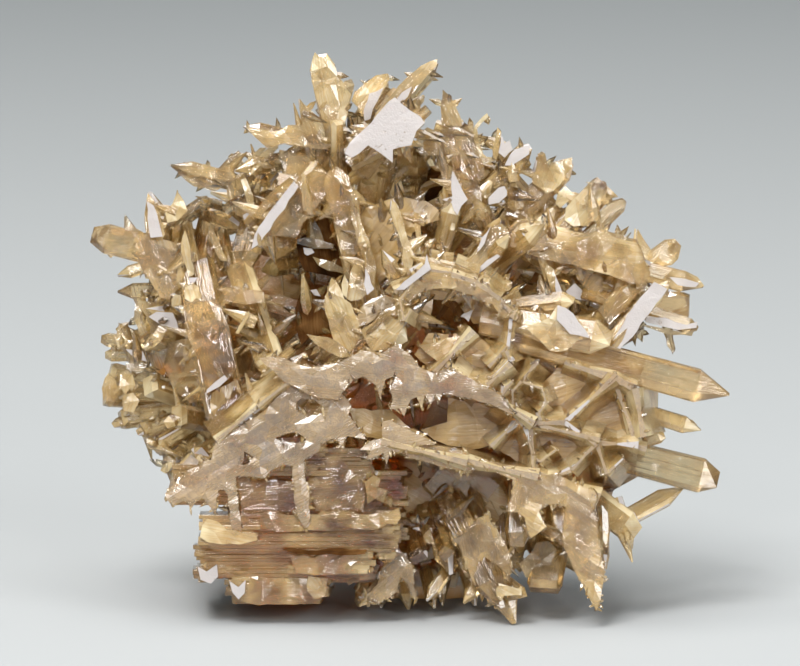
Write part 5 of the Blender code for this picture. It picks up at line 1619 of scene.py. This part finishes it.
def edge_tree(name):
    """A tree that lines paths with tiny crystals that lie in the plane of the front."""
    tree = bpy.data.node_groups.new(name, "GeometryNodeTree")
    face = tree.interface
    face.new_socket("Paths", in_out="INPUT", socket_type="NodeSocketGeometry")
    face.new_socket("Crystal", in_out="INPUT", socket_type="NodeSocketObject")
    face.new_socket("Step", in_out="INPUT", socket_type="NodeSocketFloat")
    face.new_socket("Share", in_out="INPUT", socket_type="NodeSocketFloat")
    face.new_socket("Smallest", in_out="INPUT", socket_type="NodeSocketVector")
    face.new_socket("Largest", in_out="INPUT", socket_type="NodeSocketVector")
    face.new_socket("Across", in_out="INPUT", socket_type="NodeSocketVector")
    face.new_socket("Up", in_out="INPUT", socket_type="NodeSocketVector")
    face.new_socket("Forward", in_out="INPUT", socket_type="NodeSocketVector")
    face.new_socket("Seed", in_out="INPUT", socket_type="NodeSocketInt")
    face.new_socket("Finish", in_out="INPUT", socket_type="NodeSocketMaterial")
    face.new_socket("Grown", in_out="OUTPUT", socket_type="NodeSocketGeometry")
    graph = Graph(tree)
    given = graph.node("NodeGroupInput")
    curve = graph.node("GeometryNodeMeshToCurve", None, {"Mesh": given["Paths"]})["Curve"]
    steps = graph.node("GeometryNodeCurveToPoints", {"mode": "LENGTH"}, {
        "Curve": curve, "Length": given["Step"]})["Points"]
    kept = graph.node("FunctionNodeRandomValue", {"data_type": "FLOAT"}, {
        2: 0.0, 3: 1.0, "Seed": given["Seed"]})[1] < given["Share"]
    angle = graph.node("FunctionNodeRandomValue", {"data_type": "FLOAT"}, {
        2: -pi, 3: pi, "Seed": given["Seed"] + 1.0})[1]
    axis = given["Forward"]
    for share, direction in ((angle.math("COSINE", angle), "Across"), (angle.math("SINE", angle), "Up")):
        part = graph.vector("SCALE", given[direction])
        graph.tree.links.new(share.socket, part.node.inputs["Scale"])
        axis = graph.vector("ADD", axis, part["Vector"])["Vector"]
    size = graph.node("FunctionNodeRandomValue", {"data_type": "FLOAT_VECTOR"}, {
        "Min": given["Smallest"], "Max": given["Largest"], "Seed": given["Seed"]})[0]
    stand = graph.node("FunctionNodeAlignRotationToVector", {"axis": "Z"}, {"Vector": axis})[0]
    shape = graph.node("GeometryNodeObjectInfo", None, {"Object": given["Crystal"], "As Instance": True})
    grown = graph.node("GeometryNodeInstanceOnPoints", None, {
        "Points": steps, "Selection": kept, "Instance": shape["Geometry"],
        "Rotation": stand, "Scale": size})["Instances"]
    plain = graph.node("GeometryNodeRealizeInstances", None, {0: grown})[0]
    done = graph.node("GeometryNodeSetMaterial", None, {"Geometry": plain, "Material": given["Finish"]})[0]
    graph.node("NodeGroupOutput", None, {"Grown": done})
    return tree

# %% [markdown]
# ## Clear golden crystal under a dull film, with painted light and shade
# Cerussite is heavy lead carbonate with an index of refraction of 2.07, close to diamond's,
# which gives it its adamantine gloss. The body is clear golden brown: a glass shader with that
# index, and a volume that absorbs blue more than red, so thin edges are cream and thick parts
# are brown. Many crystals are cloudy, and the front edges carry a dull lilac-grey film that is
# partly a painted sheen. A second shader stands for both, and a mask mixes the two: tone, film
# and noise drive it. Plates and slivers with a film of 2 are painted mirror white as a painted
# reflection, and a third shader makes the dark sheets in the hollows, which are painted shade.

# %% Finish of the crystals
BODY_TINT = (1.0, 0.87, 0.58, 1.0)
ABSORBED = (0.90, 0.64, 0.22, 1.0)
ABSORPTION = 230.0
INDEX = 2.07
CLOUD_COLOURS = [(0.0, (0.30, 0.14, 0.035)), (0.35, (0.55, 0.31, 0.080)), (0.7, (0.78, 0.53, 0.20)),
                 (1.0, (0.93, 0.77, 0.46))]
# Colours of the dull film, which is partly a painted sheen on the front faces.
FILM_AND_SHEEN_COLOURS = [(0.30, (0.27, 0.205, 0.145)), (0.5, (0.36, 0.255, 0.150)), (0.70, (0.48, 0.335, 0.175))]
# Mirror white for plates and slivers that stand for a reflection: a painted reflection.
PAINTED_REFLECTION_COLOUR = (0.52, 0.47, 0.45, 1.0)
FLOOR_TINT = (0.74, 0.49, 0.19, 1.0)
# Dark browns of the sheets in the hollows: painted shade.
PAINTED_SHADE_TINTS = [(0.30, (0.030, 0.011, 0.003)), (0.5, (0.085, 0.033, 0.007)), (0.72, (0.21, 0.105, 0.034))]
PAINTED_SHADE_INDEX = 1.15


def crystal_finish():
    """Golden see-through crystal with cloudy zones, growth lines, dull film and painted light and shade."""
    material = bpy.data.materials.new("golden cerussite")
    material.use_nodes = True
    material.node_tree.nodes.clear()
    graph = Graph(material.node_tree)
    here = graph.node("ShaderNodeTexCoord")["Object"]
    lines = graph.node("ShaderNodeUVMap", {"uv_map": "grain"})["UV"]
    tone = graph.node("ShaderNodeAttribute", {"attribute_name": "tone"})["Fac"]
    film = graph.node("ShaderNodeAttribute", {"attribute_name": "film"})["Fac"]
    stretched = graph.node("ShaderNodeMapping", None, {"Vector": lines, "Scale": (4.6, 0.18, 1.0)})[0]
    stripes = graph.node("ShaderNodeTexNoise", {"noise_dimensions": "2D"}, {
        "Vector": stretched, "Scale": 1.0, "Detail": 3.0, "Roughness": 0.65})["Fac"]
    drawn = graph.node("ShaderNodeMapping", None, {"Vector": lines, "Scale": (9.0, 0.10, 1.0)})[0]
    hatch = graph.node("ShaderNodeTexNoise", {"noise_dimensions": "2D"}, {
        "Vector": drawn, "Scale": 1.0, "Detail": 1.0, "Roughness": 0.5})["Fac"]
    clouds = graph.node("ShaderNodeTexNoise", None, {"Vector": here, "Scale": 330.0, "Detail": 2.0})["Fac"]
    specks = graph.node("ShaderNodeTexNoise", None, {"Vector": here, "Scale": 2400.0, "Detail": 1.0})["Fac"]
    grains = graph.node("ShaderNodeTexNoise", None, {"Vector": here, "Scale": 6500.0, "Detail": 0.0})["Fac"]
    # Tone carries the painted highlights of narrow faces and plate rims into the colour.
    shade = tone * 0.45 + clouds * 0.8 + stripes * 0.42 + hatch * 0.24 - 0.48
    cloud_colour = graph.node("ShaderNodeValToRGB", {"stops": CLOUD_COLOURS}, {0: shade})["Color"]
    patches = graph.node("ShaderNodeTexNoise", None, {"Vector": here, "Scale": 210.0, "Detail": 2.0})["Fac"]
    # The film colour is partly real dull film and partly a painted sheen.
    film_and_sheen_colour = graph.node("ShaderNodeValToRGB", {"stops": FILM_AND_SHEEN_COLOURS}, {0: patches + specks * 0.5 + grains * 0.5 - 0.5})
    film_and_sheen = film * (patches * 0.9 + grains * 0.5 + 0.22)
    colour = graph.mix((0.0 - film).between(0.2, 0.8), cloud_colour,
                       graph.mix(stripes.between(0.1, 0.7), cloud_colour, FLOOR_TINT))
    colour = graph.mix(film_and_sheen.between(0.15, 0.75), colour, film_and_sheen_colour["Color"])
    # Where the film is 2, streaks of mirror white are painted in as a painted reflection.
    painted_reflection_streaks = (specks * 0.6 + patches * 0.5 + stripes * 0.2).between(0.40, 0.50)
    colour = graph.mix((film - 1.0).between(0.2, 0.9) * painted_reflection_streaks, colour, PAINTED_REFLECTION_COLOUR)
    height = (stripes + hatch * 0.35) * (1.0 - film.between(0.3, 1.0) * 0.8) * 0.7 + grains * film.between(0.0, 0.8) * 0.3
    height = height + specks * tone.between(0.6, 1.0) * 0.5
    bump = graph.node("ShaderNodeBump", None, {"Strength": 0.5, "Distance": 0.00012, "Height": height})[0]
    clear = graph.node("ShaderNodeBsdfPrincipled", None, {
        "Base Color": BODY_TINT, "Roughness": stripes * 0.10 + 0.04, "IOR": INDEX,
        "Transmission Weight": 1.0, "Normal": bump})[0]
    cloudy = graph.node("ShaderNodeBsdfPrincipled", None, {
        "Base Color": colour, "Roughness": stripes * 0.2 + 0.10 + film.between(0.2, 1.0) * 0.12, "IOR": INDEX,
        "Normal": bump})[0]
    covered = film_and_sheen.math("ABSOLUTE", film)
    mask = (covered * 0.5 + clouds * 0.9 + tone * 0.3 - 0.40).at_least(0.05).at_most(0.9)
    surface = graph.node("ShaderNodeMixShader", None, {0: mask, 1: clear, 2: cloudy})[0]
    # Sheets with a film of -2 get a dark brown shader: painted shade in the hollows.
    painted_shade_colour = graph.node("ShaderNodeValToRGB", {"stops": PAINTED_SHADE_TINTS}, {
        0: stripes * 0.25 + clouds * 1.1 - 0.17})["Color"]
    deep = graph.node("ShaderNodeBsdfPrincipled", None, {
        "Base Color": painted_shade_colour, "Roughness": 0.7, "IOR": PAINTED_SHADE_INDEX, "Normal": bump})[0]
    painted_shade_mask = (-1.0 - film).between(0.2, 0.8)
    surface = graph.node("ShaderNodeMixShader", None, {0: painted_shade_mask, 1: surface, 2: deep})[0]
    volume = graph.node("ShaderNodeVolumeAbsorption", None, {"Color": ABSORBED, "Density": ABSORPTION})[0]
    graph.node("ShaderNodeOutputMaterial", None, {"Surface": surface, "Volume": volume})
    return material


finish = crystal_finish()

# %% [markdown]
# ## Let the crystals grow
# The trees run on the joined cluster. What they grow is split into its single closed crystals,
# which are joined to the cluster with the same Boolean as before, so that no inner walls stay.

# %% Let the crystals grow
def grown_on(base, tree, values):
    """Run a growth tree on a mesh and give the grown crystals as one mesh."""
    names = socket_names(tree)
    ground = bpy.data.objects.new("ground", base)
    bpy.context.scene.collection.objects.link(ground)
    modifier = ground.modifiers.new("growth", "NODES")
    modifier.node_group = tree
    for name, value in values.items():
        modifier[names[name]] = value
    evaluated = ground.evaluated_get(bpy.context.evaluated_depsgraph_get())
    mesh = bpy.data.meshes.new_from_object(evaluated)
    bpy.data.objects.remove(ground)
    return mesh


def one_by_one(mesh, seed):
    """Split grown crystals into single closed ones, each with its own tone."""
    count = len(seed.vertices)
    places = np.empty(len(mesh.vertices) * 3)
    mesh.vertices.foreach_get("co", places)
    single = []
    for spot in places.reshape(-1, count * 3):
        copy = seed.copy()
        copy.vertices.foreach_set("co", spot)
        tone = np.full(len(copy.polygons), chance.random())
        copy.attributes["tone"].data.foreach_set("value", tone)
        single.append(copy)
    return single


zones = {
    "Room centre": place(-2.5, 26.5, 0.0) * MILLIMETRE, "Room reach": (0.0295, 0.0195, 0.0262),
    "Net centre": place(4.0, 17.0, 17.0) * MILLIMETRE, "Net reach": (0.0215, 0.0065, 0.0085),
    "Block centre": place(-12.5, 9.0, 17.0) * MILLIMETRE, "Block reach": (0.0115, 0.0055, 0.0105),
}
growth = growth_tree("crystal growth", lattice_directions)
small_lath = seed_crystal("small lath", 0.5, False)
tooth = seed_crystal("tooth", 0.35, True)
behind = {**zones, "Room centre": place(-2.5, 26.0, -8.0) * MILLIMETRE, "Room reach": (0.0262, 0.0072, 0.0222)}
steps = [
    (small_lath, 42000.0, (1.3, 0.7, 3.0), (2.6, 1.2, 6.5), 0.16, 11, behind),
    (small_lath, 36000.0, (0.6, 0.4, 1.4), (1.4, 0.8, 3.0), 0.10, 3, zones),
    (tooth, 82000.0, (0.35, 0.3, 0.5), (0.8, 0.5, 1.4), 0.30, 5, zones),
]
for crystal, per_area, smallest, largest, lean, seed, where in steps:
    mesh = grown_on(cluster.data, growth, {
        "Crystal": crystal, "Crystals per area": per_area, "Smallest": smallest,
        "Largest": largest, "Lean": lean, "Seed": seed, "Finish": finish, **where})
    single = one_by_one(mesh, crystal.data)
    cluster.data = union([cluster.data] + single, "grown")
    print(crystal.name, "grown:", len(single), "and", len(cluster.data.polygons), "faces in all")

# %% Line the edges with teeth
paths = bmesh.new()
for line in toothed:
    corners = [paths.verts.new(spot * MILLIMETRE) for spot in line]
    for first, second in zip(corners, corners[1:]):
        paths.edges.new((first, second))
edge_paths = bpy.data.meshes.new("edge paths")
paths.to_mesh(edge_paths)
paths.free()
mesh = grown_on(edge_paths, edge_tree("edge teeth"), {
    "Crystal": tooth, "Step": 0.00045, "Share": 0.62, "Smallest": (0.22, 0.2, 0.35), "Largest": (0.5, 0.4, 0.95),
    "Across": turn(1, 0, 0), "Up": turn(0, 1, 0), "Forward": VIEWER * FORWARD_LEAN, "Seed": 8,
    "Finish": finish})
single = one_by_one(mesh, tooth.data)
cluster.data = union([cluster.data] + single, "toothed")
print("edge teeth:", len(single), "and", len(cluster.data.polygons), "faces in all")
cut_flat(cluster)
for crystal in (small_lath, tooth):
    bpy.data.objects.remove(crystal)

cluster.data.materials.clear()
cluster.data.materials.append(finish)
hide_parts("cerussite")
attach(cluster, "root")
triangles = sum(len(face.vertices) - 2 for face in cluster.data.polygons)
print("finished cluster:", triangles, "triangles")

# %% [markdown]
# ## Floor, light and camera
# A small specimen is photographed on seamless paper under large soft lights. The paper is one
# large pale plane. Large area lights from above and from the front left give the broad white
# reflections, a weaker one fills from the front right, and two small ones in front give sparks.

# %% Floor
FLOOR_SIZE = 6.0
FLOOR_COLOUR = (0.396, 0.405, 0.407, 1.0)
FLOOR_DROP = 0.00002

bpy.ops.mesh.primitive_plane_add(size=FLOOR_SIZE, location=(0, 0, -FLOOR_DROP))
floor = bpy.context.object
floor.name = "floor"
paper = bpy.data.materials.new("pale paper")
paper.use_nodes = True
paper_shader = paper.node_tree.nodes["Principled BSDF"]
paper_shader.inputs["Base Color"].default_value = FLOOR_COLOUR
paper_shader.inputs["Roughness"].default_value = 0.9
floor.data.materials.append(paper)

# %% Light
AIM = place(-2.0, 26.2, 0.0) * MILLIMETRE


def softbox(name, position, size, power, colour):
    """A square area light that looks at the specimen."""
    data = bpy.data.lights.new(name, "AREA")
    data.shape = "SQUARE"
    data.size = size
    data.energy = power
    data.color = colour
    lamp = bpy.data.objects.new(name, data)
    lamp.location = Vector(position)
    lamp.rotation_euler = (AIM - lamp.location).to_track_quat("-Z", "Y").to_euler()
    bpy.context.scene.collection.objects.link(lamp)
    return lamp


softbox("top softbox", (-0.10, -0.05, 1.00), 0.90, 10.2, (1.0, 0.99, 0.97))
softbox("left softbox", (-0.25, -0.50, 0.75), 0.35, 6.2, (1.0, 1.0, 1.0))
softbox("right fill", (0.55, -0.55, 0.30), 0.35, 2.6, (0.96, 0.98, 1.0))
softbox("left spark", (-0.18, -0.80, 0.46), 0.10, 1.1, (1.0, 1.0, 1.0))
softbox("right spark", (0.30, -0.80, 0.34), 0.08, 0.8, (1.0, 1.0, 1.0))
world = bpy.data.worlds.new("studio")
world.use_nodes = True
world.node_tree.nodes["Background"].inputs["Color"].default_value = (0.66, 0.75, 0.78, 1.0)
world.node_tree.nodes["Background"].inputs["Strength"].default_value = 0.39
bpy.context.scene.world = world

# %% Camera
FRAME_WIDTH = 0.080
DISTANCE = 0.60
SENSOR = 36.0

scene = bpy.context.scene
camera = bpy.data.objects.new("camera", bpy.data.cameras.new("camera"))
scene.collection.objects.link(camera)
camera.data.sensor_width = SENSOR
camera.data.lens = SENSOR * DISTANCE / FRAME_WIDTH
camera.data.clip_start = 0.01
camera.location = AIM + VIEWER * DISTANCE
camera.rotation_euler = (-VIEWER).to_track_quat("-Z", "Y").to_euler()
scene.camera = camera
scene.cycles.use_denoising = True
scene.cycles.max_bounces = 8
scene.cycles.transmission_bounces = 8
scene.cycles.diffuse_bounces = 3
scene.cycles.glossy_bounces = 3
scene.cycles.blur_glossy = 0.6
scene.cycles.use_light_tree = False
scene.cycles.light_sampling_threshold = 0.03
scene.view_settings.view_transform = "Standard"
print("lens", round(camera.data.lens), "mm")
